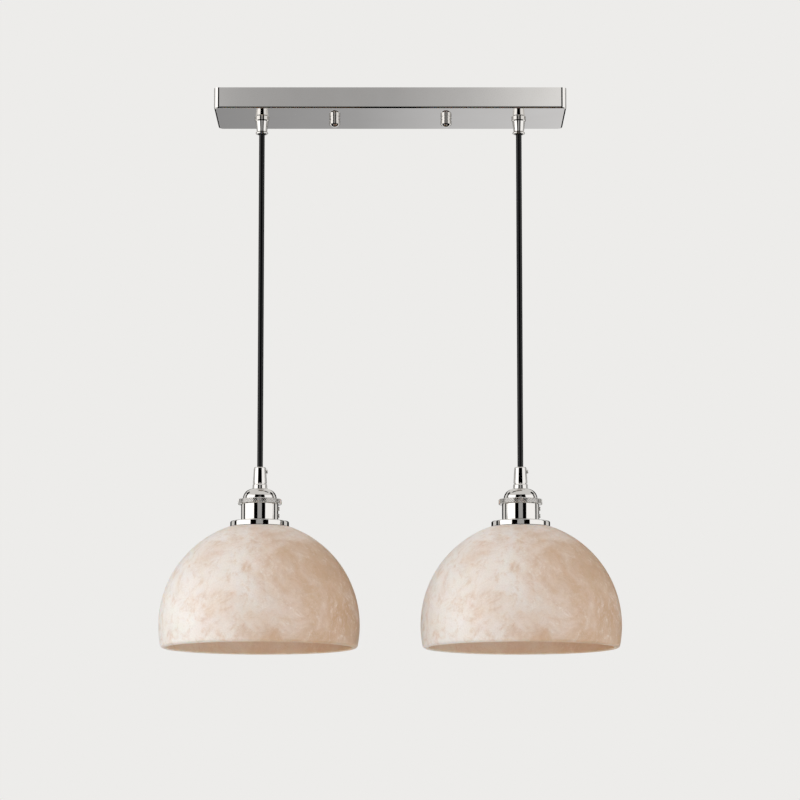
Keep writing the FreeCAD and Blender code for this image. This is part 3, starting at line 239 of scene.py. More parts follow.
def honed_alabaster(side, middle):
    """Alabaster, turned, honed and waxed: milky stone with warm clouds, pale wisps and hairline
    veins, dull rather than shiny, and a little light passes into its 6 mm wall. Painted light and
    shade make its -X side paler and its +X side tanner, and a painted warm glow lies on its inner
    wall."""
    material, tree, shader = new_material(f"honed alabaster {side}")
    place = add(tree, "ShaderNodeTexCoord").outputs["Object"]
    stone = add(
        tree,
        "ShaderNodeMapping",
        {"Vector": place, "Location": (-middle, 0, -BOWL_LEVEL)},
    ).outputs["Vector"]

    # slow eddies bend every other pattern, as the mineral flowed before it set
    eddy = add(tree, "ShaderNodeTexNoise", {"Vector": stone, "Scale": 1 / EDDIES, "Detail": 3.0})
    both_ways = add(
        tree,
        "ShaderNodeVectorMath",
        {0: eddy.outputs["Color"], 1: (0.5, 0.5, 0.5)},
        operation="SUBTRACT",
    )
    push = add(
        tree,
        "ShaderNodeVectorMath",
        {0: both_ways.outputs["Vector"], "Scale": 60 * MM},
        operation="SCALE",
    )
    flow = add(
        tree,
        "ShaderNodeVectorMath",
        {0: stone, 1: push.outputs["Vector"]},
        operation="ADD",
    ).outputs["Vector"]

    # clouds run from milk to tan; the stone is also painted paler towards -X and tanner, darker
    # towards +X, as painted light and shade from the key lamp's side
    clouds = add(
        tree,
        "ShaderNodeTexNoise",
        {"Vector": flow, "Scale": 1 / CLOUDS, "Detail": 8.0, "Roughness": 0.62},
    ).outputs["Fac"]
    calm = add(
        tree,
        "ShaderNodeMapRange",
        {"Value": clouds, "From Min": 0.0, "From Max": 1.0, "To Min": 0.17, "To Max": 0.83},
    )
    shading_along_x = add(tree, "ShaderNodeSeparateXYZ", {"Vector": flow}).outputs["X"]
    # painted light and shade: this pushes the ramp paler on the -X side and tanner on the +X side
    lean = add(
        tree,
        "ShaderNodeMapRange",
        {"Value": shading_along_x, "From Min": -0.1, "From Max": 0.1, "To Min": -0.2, "To Max": 0.23},
    )
    clouds_and_painted_shade = add(
        tree,
        "ShaderNodeMath",
        {0: calm.outputs["Result"], 1: lean.outputs["Result"]},
        operation="ADD",
    )
    body = add(
        tree,
        "ShaderNodeValToRGB",
        {"Fac": clouds_and_painted_shade.outputs["Value"]},
        stops=[
            (0.25, "#EDE7E2"),
            (0.42, "#E8DED6"),
            (0.55, "#DFCCBC"),
            (0.68, "#D1B498"),
            (0.84, "#C39F7C"),
        ],
    ).outputs["Color"]

    # mottling, like wet sugar
    mottle = add(
        tree,
        "ShaderNodeTexNoise",
        {"Vector": flow, "Scale": 1 / MOTTLING, "Detail": 6.0, "Roughness": 0.72},
    ).outputs["Fac"]
    mottle_mask = add(
        tree,
        "ShaderNodeMapRange",
        {"Value": mottle, "From Min": 0.5, "From Max": 0.7, "To Min": 0.0, "To Max": 0.5},
    ).outputs["Result"]
    mottled = add(
        tree,
        "ShaderNodeMix",
        {SHARE: mottle_mask, COLOUR_A: body, COLOUR_B: "#CFAE90"},
        data_type="RGBA",
    ).outputs[MIXED_COLOUR]

    # pale wisps, like breath on the stone
    wisps = add(
        tree,
        "ShaderNodeTexNoise",
        {
            "Vector": flow,
            "Scale": 1 / WISPS,
            "Detail": 8.0,
            "Roughness": 0.68,
            "Distortion": 0.7,
        },
    ).outputs["Fac"]
    wisp_mask = add(
        tree,
        "ShaderNodeMapRange",
        {"Value": wisps, "From Min": 0.55, "From Max": 0.7, "To Min": 0.0, "To Max": 0.42},
    ).outputs["Result"]
    wispy = add(
        tree,
        "ShaderNodeMix",
        {SHARE: wisp_mask, COLOUR_A: mottled, COLOUR_B: "#EDE3DA"},
        data_type="RGBA",
    ).outputs[MIXED_COLOUR]

    # frost: grains of white spar, gathered where the wisps are
    spar = add(
        tree,
        "ShaderNodeTexNoise",
        {"Vector": flow, "Scale": 1 / FROST, "Detail": 5.0, "Roughness": 0.7},
    ).outputs["Fac"]
    spar_mask = add(
        tree,
        "ShaderNodeMapRange",
        {"Value": spar, "From Min": 0.53, "From Max": 0.66, "To Min": 0.0, "To Max": 0.75},
    )
    gathered = add(
        tree,
        "ShaderNodeMapRange",
        {"Value": wisps, "From Min": 0.46, "From Max": 0.6, "To Min": 0.08, "To Max": 0.75},
    )
    spar_share = add(
        tree,
        "ShaderNodeMath",
        {0: spar_mask.outputs["Result"], 1: gathered.outputs["Result"]},
        operation="MULTIPLY",
    ).outputs["Value"]
    frosted = add(
        tree,
        "ShaderNodeMix",
        {SHARE: spar_share, COLOUR_A: wispy, COLOUR_B: "#F0E8E1"},
        data_type="RGBA",
    ).outputs[MIXED_COLOUR]

    # honey veins, hair-thin: where a slow noise passes through its middle value
    strata = add(
        tree,
        "ShaderNodeTexNoise",
        {"Vector": flow, "Scale": 1 / STRATA, "Detail": 5.0, "Roughness": 0.6},
    ).outputs["Fac"]
    off_line = add(tree, "ShaderNodeMath", {0: strata, 1: 0.5}, operation="SUBTRACT")
    away = add(
        tree,
        "ShaderNodeMath",
        {0: off_line.outputs["Value"]},
        operation="ABSOLUTE",
    ).outputs["Value"]
    vein_mask = add(
        tree,
        "ShaderNodeMapRange",
        {"Value": away, "From Min": 0.0, "From Max": 0.02, "To Min": 0.2, "To Max": 0.0},
    ).outputs["Result"]
    vein_share = add(
        tree,
        "ShaderNodeMath",
        {0: vein_mask, 1: mottle},
        operation="MULTIPLY",
    ).outputs["Value"]
    veined = add(
        tree,
        "ShaderNodeMix",
        {SHARE: vein_share, COLOUR_A: frosted, COLOUR_B: "#B58A63"},
        data_type="RGBA",
    ).outputs[MIXED_COLOUR]

    # the bowl's inner wall is painted warmer and tanner: a painted glow that stands for warm light
    # passing through the stone
    level = add(
        tree,
        "ShaderNodeVectorMath",
        {0: stone, 1: (1.0, 1.0, 0.0)},
        operation="MULTIPLY",
    ).outputs["Vector"]
    radius = add(tree, "ShaderNodeVectorMath", {0: level}, operation="LENGTH").outputs["Value"]
    wide = add(tree, "ShaderNodeMath", {0: radius, 1: ARC_PAST_AXIS}, operation="ADD")
    height = add(tree, "ShaderNodeSeparateXYZ", {"Vector": stone}).outputs["Z"]
    rise = add(tree, "ShaderNodeMath", {0: height, 1: ARC_DOWN}, operation="ADD")
    spoke = add(
        tree,
        "ShaderNodeCombineXYZ",
        {"X": wide.outputs["Value"], "Y": rise.outputs["Value"]},
    ).outputs["Vector"]
    reach = add(tree, "ShaderNodeVectorMath", {0: spoke}, operation="LENGTH").outputs["Value"]
    inside = add(
        tree,
        "ShaderNodeMapRange",
        {
            "Value": reach,
            "From Min": ARC_RADIUS - ARC_FADE,
            "From Max": ARC_RADIUS,
            "To Min": 0.45,
            "To Max": 0.0,
        },
    ).outputs["Result"]
    # painted light: the warm glow colour laid on the inner wall
    inner_glow_painted = add(
        tree,
        "ShaderNodeMix",
        {SHARE: inside, COLOUR_A: veined, COLOUR_B: "#E8CDB0"},
        data_type="RGBA",
    ).outputs[MIXED_COLOUR]

    # crystal grain gives the skin its sparkle and tooth
    grain = add(
        tree,
        "ShaderNodeTexNoise",
        {"Vector": stone, "Scale": 1 / CRYSTALS, "Detail": 2.0},
    ).outputs["Fac"]
    speck = add(
        tree,
        "ShaderNodeMapRange",
        {
            "Value": grain,
            "From Min": NOISE_LOW,
            "From Max": NOISE_HIGH,
            "To Min": 0.955,
            "To Max": 1.03,
        },
    ).outputs["Result"]
    grained = add(
        tree,
        "ShaderNodeVectorMath",
        {0: inner_glow_painted, "Scale": speck},
        operation="SCALE",
    ).outputs["Vector"]
    wax = add(
        tree,
        "ShaderNodeMapRange",
        {
            "Value": clouds,
            "From Min": NOISE_LOW,
            "From Max": NOISE_HIGH,
            "To Min": 0.38,
            "To Max": 0.5,
        },
    ).outputs["Result"]
    bump = add(
        tree,
        "ShaderNodeBump",
        {"Height": grain, "Strength": 1.0, "Distance": 0.04 * MM},
    ).outputs["Normal"]
    plug(
        tree,
        shader,
        {
            "Base Color": grained,
            "Roughness": wax,
            "IOR": 1.52,
            "Subsurface Weight": 0.45,
            "Subsurface Radius": (1.0, 0.62, 0.38),
            "Subsurface Scale": 12 * MM,
            "Normal": bump,
        },
    )
    return material


def threaded(material, pitch, low, high):
    """Cuts thread rings of the given pitch into a metal between two heights."""
    cut, tree, shader = copied(material, "threaded")
    smooth = shader.inputs["Normal"].links[0].from_socket
    height, within = height_band(tree, low, high)
    turns = add(tree, "ShaderNodeMath", {0: height, 1: pitch / 2}, operation="PINGPONG")
    crest = add(
        tree,
        "ShaderNodeMath",
        {0: turns.outputs["Value"], 1: within},
        operation="MULTIPLY",
    ).outputs["Value"]
    bump = add(
        tree,
        "ShaderNodeBump",
        {"Height": crest, "Strength": 1.0, "Distance": 1.0, "Normal": smooth},
    ).outputs["Normal"]
    plug(tree, shader, {"Normal": bump})
    return cut


def knurl_shade_band(material, low, high):
    """Makes a metal rougher between two heights, as the floor of a knurl is never buffed, and
    darkens it there with painted shade.
    """
    knurl_shaded, tree, shader = copied(material, "dull and shaded in the knurl")
    tone = shader.inputs["Base Color"].links[0].from_socket
    haze = shader.inputs["Roughness"].links[0].from_socket
    within = height_band(tree, low, high)[1]
    # painted shade: the knurl band's colour is pulled darker
    knurl_shade_tone = add(
        tree,
        "ShaderNodeMix",
        {SHARE: within, COLOUR_A: tone, COLOUR_B: "#B4B1AD"},
        data_type="RGBA",
    ).outputs[MIXED_COLOUR]
    rough = add(
        tree,
        "ShaderNodeMix",
        {SHARE: within, NUMBER_A: haze, NUMBER_B: 0.16},
        data_type="FLOAT",
    ).outputs[MIXED_NUMBER]
    plug(tree, shader, {"Base Color": knurl_shade_tone, "Roughness": rough})
    return knurl_shaded


def opal_glass():
    """Blown opal glass: white right through, with a wet gloss and a soft edge."""
    material, tree, shader = new_material("blown opal glass")
    place = add(tree, "ShaderNodeTexCoord").outputs["Object"]
    drift = add(
        tree,
        "ShaderNodeTexNoise",
        {"Vector": place, "Scale": 1 / (20 * MM), "Detail": 2.0},
    ).outputs["Fac"]
    tone = add(
        tree,
        "ShaderNodeMix",
        {SHARE: drift, COLOUR_A: "#F3F1EC", COLOUR_B: "#EAE7E0"},
        data_type="RGBA",
    ).outputs[MIXED_COLOUR]
    gloss = add(
        tree,
        "ShaderNodeMapRange",
        {
            "Value": drift,
            "From Min": NOISE_LOW,
            "From Max": NOISE_HIGH,
            "To Min": 0.08,
            "To Max": 0.14,
        },
    ).outputs["Result"]
    plug(
        tree,
        shader,
        {
            "Base Color": tone,
            "Roughness": gloss,
            "IOR": 1.5,
            "Subsurface Weight": 0.4,
            "Subsurface Radius": (1.0, 0.95, 0.85),
            "Subsurface Scale": 4 * MM,
        },
    )
    return material


def striped_insulation():
    """Extruded PVC, green with a yellow stripe: the earth core."""
    material, tree, shader = new_material("green and yellow earth insulation")
    place = add(tree, "ShaderNodeTexCoord").outputs["Object"]
    stripes = add(
        tree,
        "ShaderNodeTexWave",
        {"Vector": place, "Scale": 1 / (12 * MM), "Distortion": 0.0},
        bands_direction="Y",
    ).outputs["Fac"]
    yellow = add(
        tree,
        "ShaderNodeMath",
        {0: stripes, 1: 0.6},
        operation="GREATER_THAN",
    ).outputs["Value"]
    tone = add(
        tree,
        "ShaderNodeMix",
        {SHARE: yellow, COLOUR_A: "#2E8B47", COLOUR_B: "#E2C93A"},
        data_type="RGBA",
    ).outputs[MIXED_COLOUR]
    plug(tree, shader, {"Base Color": tone, "Roughness": 0.42})
    return material


# Nickel plate on turned brass, buffed to a mirror: bright, faintly warm, crisp reflections with a
# trace of haze where the mop slowed.
nickel = metal(
    "polished nickel plate",
    tones=("#DAD8D5", "#D2CFCB"), roughness=(0.012, 0.035), cloud=30 * MM, ripple=0.002 * MM,
)
# The knurl keeps its cut faces, so it is duller than the buffed pieces.
knurl_nickel = metal(
    "cut nickel knurl",
    tones=("#EAE8E5", "#DEDBD7"), roughness=(0.06, 0.12), cloud=4 * MM, ripple=0.01 * MM,
)
# Zinc plate on steel: a cool satin grey with patches of passivation.
zinc = metal(
    "zinc-plated steel",
    tones=("#C6C9CB", "#A9ADAE"), roughness=(0.26, 0.4), cloud=6 * MM, ripple=0.02 * MM,
)
# Turned brass left bare: yellow, with lathe haze and a little tarnish.
brass = metal(
    "bare turned brass",
    tones=("#D9B968", "#C09A48"), roughness=(0.18, 0.3), cloud=8 * MM, ripple=0.01 * MM,
)
# Aluminium rolled thin round the bulb's foot: pale and slightly scuffed.
aluminium = metal(
    "rolled aluminium",
    tones=("#D8D9DA", "#C2C4C6"), roughness=(0.22, 0.34), cloud=7 * MM, ripple=0.02 * MM,
)
# Tinned copper, the crimped lug: pale and a little warm, with the dull bloom of dipped tin.
tinned = metal(
    "tinned copper",
    tones=("#CFCAC0", "#B9B1A4"), roughness=(0.25, 0.38), cloud=3 * MM, ripple=0.02 * MM,
)
# Extruded PVC sheath: deep black with a narrow, weak sheen and drawn lines along its length.
flex = polymer(
    "black PVC sheath",
    tones=("#070708", "#040405"), roughness=(0.07, 0.12), grain=1.2 * MM, tooth=0.01 * MM,
    stretch=(1, 1, 0.04), own={"Specular IOR Level": 0.26},
)
# Moulded nylon: black and a little grey where it is grained.
nylon = polymer(
    "moulded black nylon",
    tones=("#17171A", "#101012"), roughness=(0.45, 0.58), grain=0.8 * MM, tooth=0.03 * MM,
)
# Moulded polyamide: off-white, satin, with the faint cloud of its filler.
polyamide = polymer(
    "moulded white polyamide",
    tones=("#ECEBE6", "#E1DFD8"), roughness=(0.38, 0.5), grain=3 * MM, tooth=0.02 * MM,
)
# Unglazed steatite: chalky cream with a fine tooth.
steatite = polymer(
    "unglazed steatite",
    tones=("#EFEBE2", "#E3DDD1"), roughness=(0.55, 0.7), grain=1 * MM, tooth=0.04 * MM,
)
# Die-cut rubber: dark grey, dusty and dull.
rubber = polymer(
    "die-cut rubber",
    tones=("#232323", "#1A1A1A"), roughness=(0.78, 0.9), grain=1.5 * MM, tooth=0.05 * MM,
)
# Core insulation, extruded PVC: a soft satin, brown for live and blue for neutral.
brown_core = polymer(
    "brown live insulation",
    tones=("#6B3F22", "#5E361C"), roughness=(0.36, 0.46), grain=2 * MM, tooth=0.02 * MM,
)
blue_core = polymer(
    "blue neutral insulation",
    tones=("#2C62A8", "#27589A"), roughness=(0.36, 0.46), grain=2 * MM, tooth=0.02 * MM,
)
earth_core = striped_insulation()

FINISHES = {
    "polished_nickel": nickel,
    "black_flex": flex,
    "black_nylon": nylon,
    "white_polyamide": polyamide,
    "core_insulation": brown_core,
    "zinc_steel": zinc,
    "brass": brass,
    "porcelain": steatite,
    "gasket_rubber": rubber,
    "bulb_aluminium": aluminium,
    "opal_glass": opal_glass(),
}
for side, sign in SIDES.items():
    FINISHES[f"alabaster {side}"] = honed_alabaster(side, sign * HALF_SPACING)

# Nodes whose finish changes along their height: the M4 studs under the crossbar, the M10 nipples
# above the canopy's floor, and the union rings, rougher and darkened with painted shade in the
# knurl.
KNURLED = 0.8  # the share of a union ring's height that is knurled
SPECIAL = {"stud_screws": threaded(zinc, pitch=0.7 * MM, low=-31 * MM, high=-5.6 * MM)}
for side in SIDES:
    SPECIAL[f"top_grip_{side}"] = threaded(nickel, pitch=1 * MM, low=-22.4 * MM, high=-17 * MM)
    foot, crown = (corner[2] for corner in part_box(f"union_ring_{side}"))
    plain = (crown - foot) * (1 - KNURLED) / 2
    SPECIAL[f"union_ring_{side}"] = knurl_shade_band(nickel, foot + plain, crown - plain)

for part in frame["record"]["subparts"]:
    node, slot = part["node"], part["material_slot"]
    if slot == "alabaster":
        slot = "alabaster " + node.rsplit("_", 1)[1]
    finish = SPECIAL.get(node, FINISHES[slot])
    for own in frame["nodes"][node].material_slots:
        own.material = finish


# ---------------------------------------------------------------- flex

# Each flex is gripped at both ends and hangs straight under the weight of its bowl: 385 mm show
# between the grips, and the rest is inside them.
FLEX = 6.5 * MM
FLEX_TOP = -39.7 * MM
FLEX_FOOT = -457.7 * MM
FLEX_GUIDED = 6 * FLEX  # from each end to the next point of its line

for side, sign in SIDES.items():
    x = sign * HALF_SPACING
    line = bpy.data.curves.new(f"flex_{side}", "CURVE")
    line.dimensions = "3D"
    line.bevel_depth = FLEX / 2
    line.bevel_resolution = 6
    line.use_fill_caps = True
    line.resolution_u = 24
    spline = line.splines.new("NURBS")
    heights = [FLEX_TOP, FLEX_TOP - FLEX_GUIDED, FLEX_FOOT + FLEX_GUIDED, FLEX_FOOT]
    spline.points.add(len(heights) - 1)
    for point, z in zip(spline.points, heights):
        point.co = (x, 0, z, 1)
    spline.order_u = 3
    spline.use_endpoint_u = True
    line.materials.append(flex)
    hung = new_object(f"flex_{side}", line)
    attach(hung, f"{side}_pendant")
    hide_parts(f"hanging_cable_{side}")


# ---------------------------------------------------------------- core insulation


def islands(shape):
    """Gives the loose shells of a bmesh, each as a list of faces."""
    waiting = set(shape.faces)
    shells = []
    while waiting:
        start = waiting.pop()
        shell, queue = [start], [start]
        while queue:
            for edge in queue.pop().edges:
                for face in edge.link_faces:
                    if face in waiting:
                        waiting.remove(face)
                        shell.append(face)
                        queue.append(face)
        shells.append(shell)
    return shells


def dress_cores(node, body):
    """Makes one piece of a node's cores, each in its own colour: the three largest shells are the
    cores, and a fourth is the crimped lug."""
    finishes = (brown_core, blue_core, earth_core, tinned)
    shape = bmesh.new()
    shape.from_mesh(frame["nodes"][node].data)
    bmesh.ops.remove_doubles(shape, verts=shape.verts, dist=1e-6)
    bmesh.ops.recalc_face_normals(shape, faces=shape.faces)
    shells = sorted(islands(shape), key=lambda shell: -sum(face.calc_area() for face in shell))
    for index, shell in enumerate(shells[: len(finishes)]):
        for face in shell:
            face.material_index = index
            face.smooth = True
    mesh = bpy.data.meshes.new(f"{node}_insulation")
    shape.to_mesh(mesh)
    shape.free()
    for finish in finishes:
        mesh.materials.append(finish)
    piece = new_object(f"{node}_insulation", mesh)
    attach(piece, body)
    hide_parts(node)


for side in SIDES:
    dress_cores(f"canopy_cores_{side}", "canopy_mount")
    dress_cores(f"holder_cores_{side}", f"{side}_pendant")


# ---------------------------------------------------------------- union ring knurls

# A diamond knurl lets fingers turn the union ring. It is two sets of slanted ribs round the ring.
KNURL_RIBS = 76  # in each set: one every 2 mm
KNURL_PROUD = 0.28 * MM
KNURL_SUNK = 0.04 * MM  # how far the ribs' centres lie inside the ring's face
KNURL_SLANT = math.radians(34)


def knurl_tree():
    """Geometry Nodes that stand ribs round a circle: a circle's points carry the ribs, first
    slanted one way and then the other."""
    tree = bpy.data.node_groups.new("ring knurl", "GeometryNodeTree")
    inputs = [
        ("Centre", "NodeSocketVector"),
        ("Radius", "NodeSocketFloat"),
        ("Band", "NodeSocketFloat"),
        ("Ribs", "NodeSocketInt"),
        ("Proud", "NodeSocketFloat"),
        ("Slant", "NodeSocketFloat"),
        ("Finish", "NodeSocketMaterial"),
    ]
    for name, kind in inputs:
        tree.interface.new_socket(name, in_out="INPUT", socket_type=kind)
    tree.interface.new_socket("Geometry", in_out="OUTPUT", socket_type="NodeSocketGeometry")
    given = add(tree, "NodeGroupInput").outputs

    # a rib is a square bar with one edge out along +X
    bar = add(
        tree,
        "GeometryNodeMeshCylinder",
        {"Vertices": 4, "Radius": given["Proud"], "Depth": given["Band"]},
    ).outputs["Mesh"]
    circle = add(
        tree,
        "GeometryNodeMeshCircle",
        {"Vertices": given["Ribs"], "Radius": given["Radius"]},
    ).outputs["Mesh"]
    outwards = add(tree, "GeometryNodeInputPosition").outputs["Position"]
    facing = add(
        tree,
        "FunctionNodeAlignRotationToVector",
        {"Vector": outwards},
        axis="X",
        pivot_axis="Z",
    ).outputs["Rotation"]
    both = add(tree, "GeometryNodeJoinGeometry")
    for lean in (1, -1):
        angle = add(tree, "ShaderNodeMath", {0: given["Slant"], 1: lean}, operation="MULTIPLY")
        tilt = add(tree, "ShaderNodeCombineXYZ", {"X": angle.outputs["Value"]})
        turned = add(
            tree,
            "FunctionNodeRotateRotation",
            {"Rotation": facing, "Rotate By": tilt.outputs["Vector"]},
            rotation_space="LOCAL",
        ).outputs["Rotation"]
        ribs = add(
            tree,
            "GeometryNodeInstanceOnPoints",
            {"Points": circle, "Instance": bar, "Rotation": turned},
        ).outputs["Instances"]
        plug(tree, both, {"Geometry": ribs})
    real = add(tree, "GeometryNodeRealizeInstances", {"Geometry": both.outputs["Geometry"]})
    moved = add(
        tree,
        "GeometryNodeTransform",
        {"Geometry": real.outputs["Geometry"], "Translation": given["Centre"]},
    )
    dressed = add(
        tree,
        "GeometryNodeSetMaterial",
        {"Geometry": moved.outputs["Geometry"], "Material": given["Finish"]},
    )
    add(tree, "NodeGroupOutput", {"Geometry": dressed.outputs["Geometry"]})
    return tree


def grow(name, tree, values):
    """Runs a Geometry Nodes tree with the given inputs and keeps the plain mesh it makes."""
    carrier = new_object(f"{name}_carrier", bpy.data.meshes.new(f"{name}_carrier"))
    modifier = carrier.modifiers.new("grow", "NODES")
    modifier.node_group = tree
    for item in tree.interface.items_tree:
        if item.in_out == "INPUT":
            modifier[item.identifier] = values[item.name]
    ready = carrier.evaluated_get(bpy.context.evaluated_depsgraph_get())
    mesh = bpy.data.meshes.new_from_object(ready)
    mesh.name = name
    bpy.data.objects.remove(carrier)
    return new_object(name, mesh)


knurling = knurl_tree()
for side, sign in SIDES.items():
    low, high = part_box(f"union_ring_{side}")
    knurl = grow(
        f"union_ring_knurl_{side}",
        knurling,
        {
            "Centre": (sign * HALF_SPACING, 0.0, (low[2] + high[2]) / 2),
            "Radius": (high[0] - low[0]) / 2 - KNURL_SUNK,
            "Band": KNURLED * (high[2] - low[2]) / math.cos(KNURL_SLANT),
            "Ribs": KNURL_RIBS,
            "Proud": KNURL_PROUD,
            "Slant": KNURL_SLANT,
            "Finish": knurl_nickel,
        },
    )
    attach(knurl, f"{side}_pendant")


# ---------------------------------------------------------------- cards

# Polished metal shows what stands round it, so white cards fill its faces and black ones draw its
# edges. Bearings are in degrees from the viewer's side towards +X. The cards' reaches differ a
# little, so that none cuts another.
FLOOR = -1.25
CARD_FOOT = FLOOR + 0.005
ON_FLOOR = FLOOR + 0.02
FLAG_REACH = 5.2
WHITE_REACH = 5.15
MIDDLE_REACH = 5.3
BACK_REACH = 4.0
FLOOR_REACH = 5.14
UNDER_REACH = 1.5  # of the round black card right under the object


def stage_material(name, code, strength):
    """A plain lit surface whose tone doesn't depend on the lamps."""
    material = bpy.data.materials.new(name)
    material.use_nodes = True
    tree = material.node_tree
    tree.nodes.clear()
    glow = add(tree, "ShaderNodeEmission", {"Color": code, "Strength": strength})
    add(tree, "ShaderNodeOutputMaterial", {"Surface": glow.outputs["Emission"]})
    return material


def graded_material(name, half, stops):
    """A lit card whose tone runs along X, from -half to half metres, through a ramp's stops."""
    material = stage_material(name, "#FFFFFF", 1.0)
    tree = material.node_tree
    place = add(tree, "ShaderNodeTexCoord").outputs["Object"]
    along = add(tree, "ShaderNodeSeparateXYZ", {"Vector": place}).outputs["X"]
    share = add(
        tree,
        "ShaderNodeMapRange",
        {"Value": along, "From Min": -half, "From Max": half},
    ).outputs["Result"]
    tone = add(tree, "ShaderNodeValToRGB", {"Fac": share}, stops=stops).outputs["Color"]
    plug(tree, find(tree, "EMISSION"), {"Color": tone})
    return material


def sweep(name, bearings, edges, steps, material):
    """Sweeps a card between two bearings. Each of its two edges has a reach and a height. Only
    reflections see it."""
    start, end = bearings
    points, faces = [], []
    for i in range(steps + 1):
        turn = math.radians(start + (end - start) * i / steps)
        for reach, height in edges:
            points.append((reach * math.sin(turn), -reach * math.cos(turn), height))
        if i:
            k = 2 * i
            faces.append((k - 2, k, k + 1, k - 1))
    mesh = bpy.data.meshes.new(name)
    mesh.from_pydata(points, [], faces)
    mesh.materials.append(material)
    made = new_object(name, mesh)
    made.visible_camera = False
    made.visible_diffuse = False
    made.visible_transmission = False
    made.visible_volume_scatter = False
    made.visible_shadow = False


def card(name, bearings, heights, reach, material):
    """Stands an upright curved card between two heights."""
    sweep(name, bearings, [(reach, height) for height in heights], 8, material)


def floor_card(name, bearings, reaches, material):
    """Lays a flat card on the floor between two reaches."""
    sweep(name, bearings, [(reach, ON_FLOOR) for reach in reaches], 48, material)


black = stage_material("black flag", "#000000", 0.0)
grey = stage_material("grey card", "#B6B6B6", 1.0)
white_left = stage_material("bright card", "#FFFFFF", 1.75)
white_right = stage_material("soft white card", "#FFFFFF", 1.3)
face_card = graded_material(
    "face card",
    0.55,
    [
        (0.06, "#CCCCCD"),
        (0.12, "#C1C1C2"),
        (0.26, "#B8B8B9"),
        (0.49, "#BBBBBC"),
        (0.68, "#D4D4D5"),
        (0.9, "#FFFFFF"),
    ],
)
underside_card = graded_material(
    "underside card",
    0.45,
    [
        (0.05, "#9E9E9F"),
        (0.2, "#A5A5A6"),
        (0.4, "#AFAFB0"),
        (0.6, "#CACACB"),
        (0.8, "#D6D6D7"),
        (0.95, "#E0E0E1"),
    ],
)

# black flags, alike on both sides: their bearings and heights
FLAGS = {
    "flag_near": ((13, 35), (CARD_FOOT, 3.5)),
    "flag_side": ((102, 114), (CARD_FOOT, 2.4)),
    "flag_side_high": ((100, 128), (2.4, 4.8)),
    "flag_far": ((140, 172), (CARD_FOOT, 2.4)),
}
for sign in SIDES.values():
    for name, ((start, end), heights) in FLAGS.items():
        card(f"{name}_{sign}", (sign * start, sign * end), heights, FLAG_REACH, black)

card("white_left", (-98, -36), (CARD_FOOT, 2.6), WHITE_REACH, white_left)
card("white_right", (36, 98), (CARD_FOOT, 2.6), WHITE_REACH, white_right)

# behind the viewer; the canopy's face mirrors only a narrow strip of these
STRIP = (0.95, 1.45)
card("middle_low", (-13, 13), (CARD_FOOT, 0.35), MIDDLE_REACH, grey)
card("middle_dark", (-13, 13), (0.35, STRIP[0]), MIDDLE_REACH, black)
card("middle_top", (-13, 13), (STRIP[1], 3.5), MIDDLE_REACH, black)
card("middle_strip", (-6.5, 6.5), STRIP, MIDDLE_REACH, face_card)
for sign in SIDES.values():
    card(f"middle_beside_{sign}", (sign * 6.5, sign * 13), STRIP, MIDDLE_REACH, black)

# the canopy's underside mirrors this one, low and far behind
card("back_low", (172, 188), (-1.24, -0.6), BACK_REACH, underside_card)

# those on the floor put the edges in the beads, fillets and mirror images
floor_card("floor_under", (0, 360), (0.0, UNDER_REACH), black)
floor_card("floor_front", (-35, 35), (UNDER_REACH, FLOOR_REACH), black)
floor_card("floor_left", (-98, -35), (UNDER_REACH, FLOOR_REACH), white_left)
floor_card("floor_right", (35, 98), (UNDER_REACH, FLOOR_REACH), white_right)


# ---------------------------------------------------------------- floor and light

FLOOR_RADIUS = 30.0
FLOOR_GLOW = 0.36  # what the floor adds to its lit tone, for the eye alone
PALE = "#EDECEA"
AMBIENT = 0.62  # the sky's strength on the object
AIM = Vector((0, 0, -0.35))


def seen_directly(tree):
    """Gives 1 to rays from the camera, a reflection or glass, and 0 to light on the object."""
    path = add(tree, "ShaderNodeLightPath").outputs
    either = add(
        tree,
        "ShaderNodeMath",
        {0: path["Is Camera Ray"], 1: path["Is Glossy Ray"]},
        operation="MAXIMUM",
    )
    return add(
        tree,
        "ShaderNodeMath",
        {0: either.outputs["Value"], 1: path["Is Transmission Ray"]},
        operation="MAXIMUM",
    ).outputs["Value"]


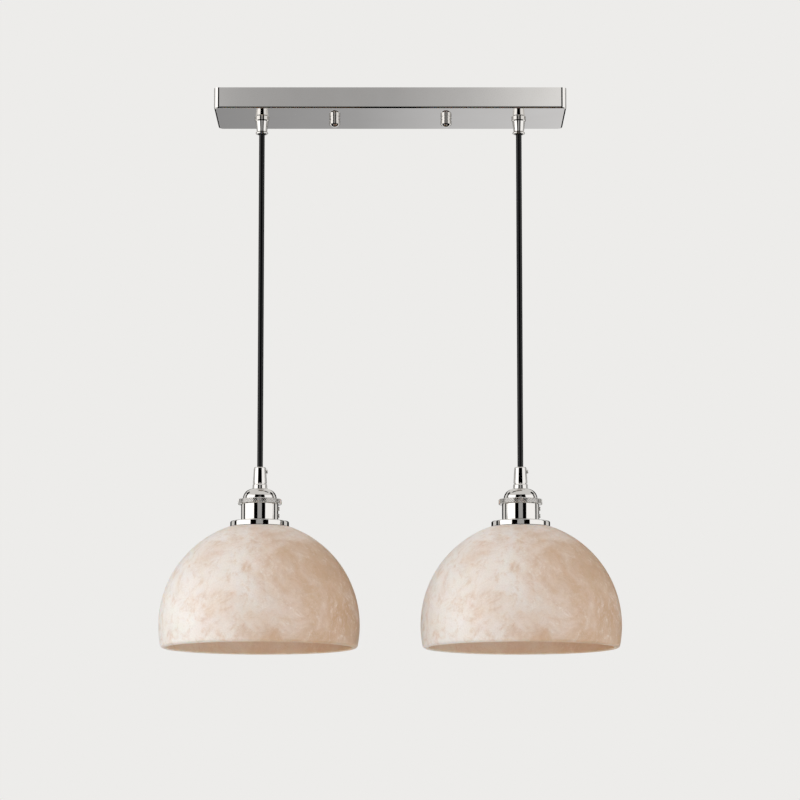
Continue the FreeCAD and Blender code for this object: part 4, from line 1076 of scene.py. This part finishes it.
floor_mesh = bpy.data.meshes.new("floor")
ground = bmesh.new()
bmesh.ops.create_circle(ground, cap_ends=True, radius=FLOOR_RADIUS, segments=96)
bmesh.ops.translate(ground, vec=(0, 0, FLOOR), verts=ground.verts)
ground.to_mesh(floor_mesh)
ground.free()
floor_material, floor_tree, floor_shader = new_material("pale floor")
floor_glow = add(
    floor_tree,
    "ShaderNodeMath",
    {0: seen_directly(floor_tree), 1: FLOOR_GLOW},
    operation="MULTIPLY",
).outputs["Value"]
plug(
    floor_tree,
    floor_shader,
    {
        "Base Color": "#E9E8E6",
        "Roughness": 0.9,
        "Emission Color": PALE,
        "Emission Strength": floor_glow,
    },
)
floor_mesh.materials.append(floor_material)
new_object("floor", floor_mesh)

world = bpy.data.worlds.new("studio")
bpy.context.scene.world = world
world.use_nodes = True
sky = world.node_tree
sky.nodes.clear()
shown = add(sky, "ShaderNodeBackground", {"Color": PALE, "Strength": 1.0})
shone = add(sky, "ShaderNodeBackground", {"Color": "#FFFFFF", "Strength": AMBIENT})
surround = add(
    sky,
    "ShaderNodeMixShader",
    {0: seen_directly(sky), 1: shone.outputs["Background"], 2: shown.outputs["Background"]},
)
add(sky, "ShaderNodeOutputWorld", {"Surface": surround.outputs["Shader"]})


def softbox(name, bearing, reach, height, size, power):
    """Hangs a large soft lamp, size metres wide and tall, that faces the object. Metal mirrors
    the cards in its place."""
    lamp = bpy.data.lights.new(name, "AREA")
    lamp.shape = "RECTANGLE"
    lamp.size, lamp.size_y = size
    lamp.energy = power
    made = new_object(name, lamp)
    turn = math.radians(bearing)
    made.location = (reach * math.sin(turn), -reach * math.cos(turn), height)
    made.rotation_euler = (AIM - made.location).to_track_quat("-Z", "Y").to_euler()
    made.visible_camera = False
    made.visible_glossy = False


softbox("key", bearing=-68, reach=2.9, height=0.75, size=(3.2, 2.2), power=42)
softbox("fill", bearing=72, reach=2.9, height=0.6, size=(3.2, 2.2), power=17)
# light sent back up from the floor fills the bowls
softbox("bounce", bearing=0, reach=0.4, height=-1.2, size=(2.4, 2.4), power=5)

bpy.context.scene.view_settings.view_transform = "Standard"
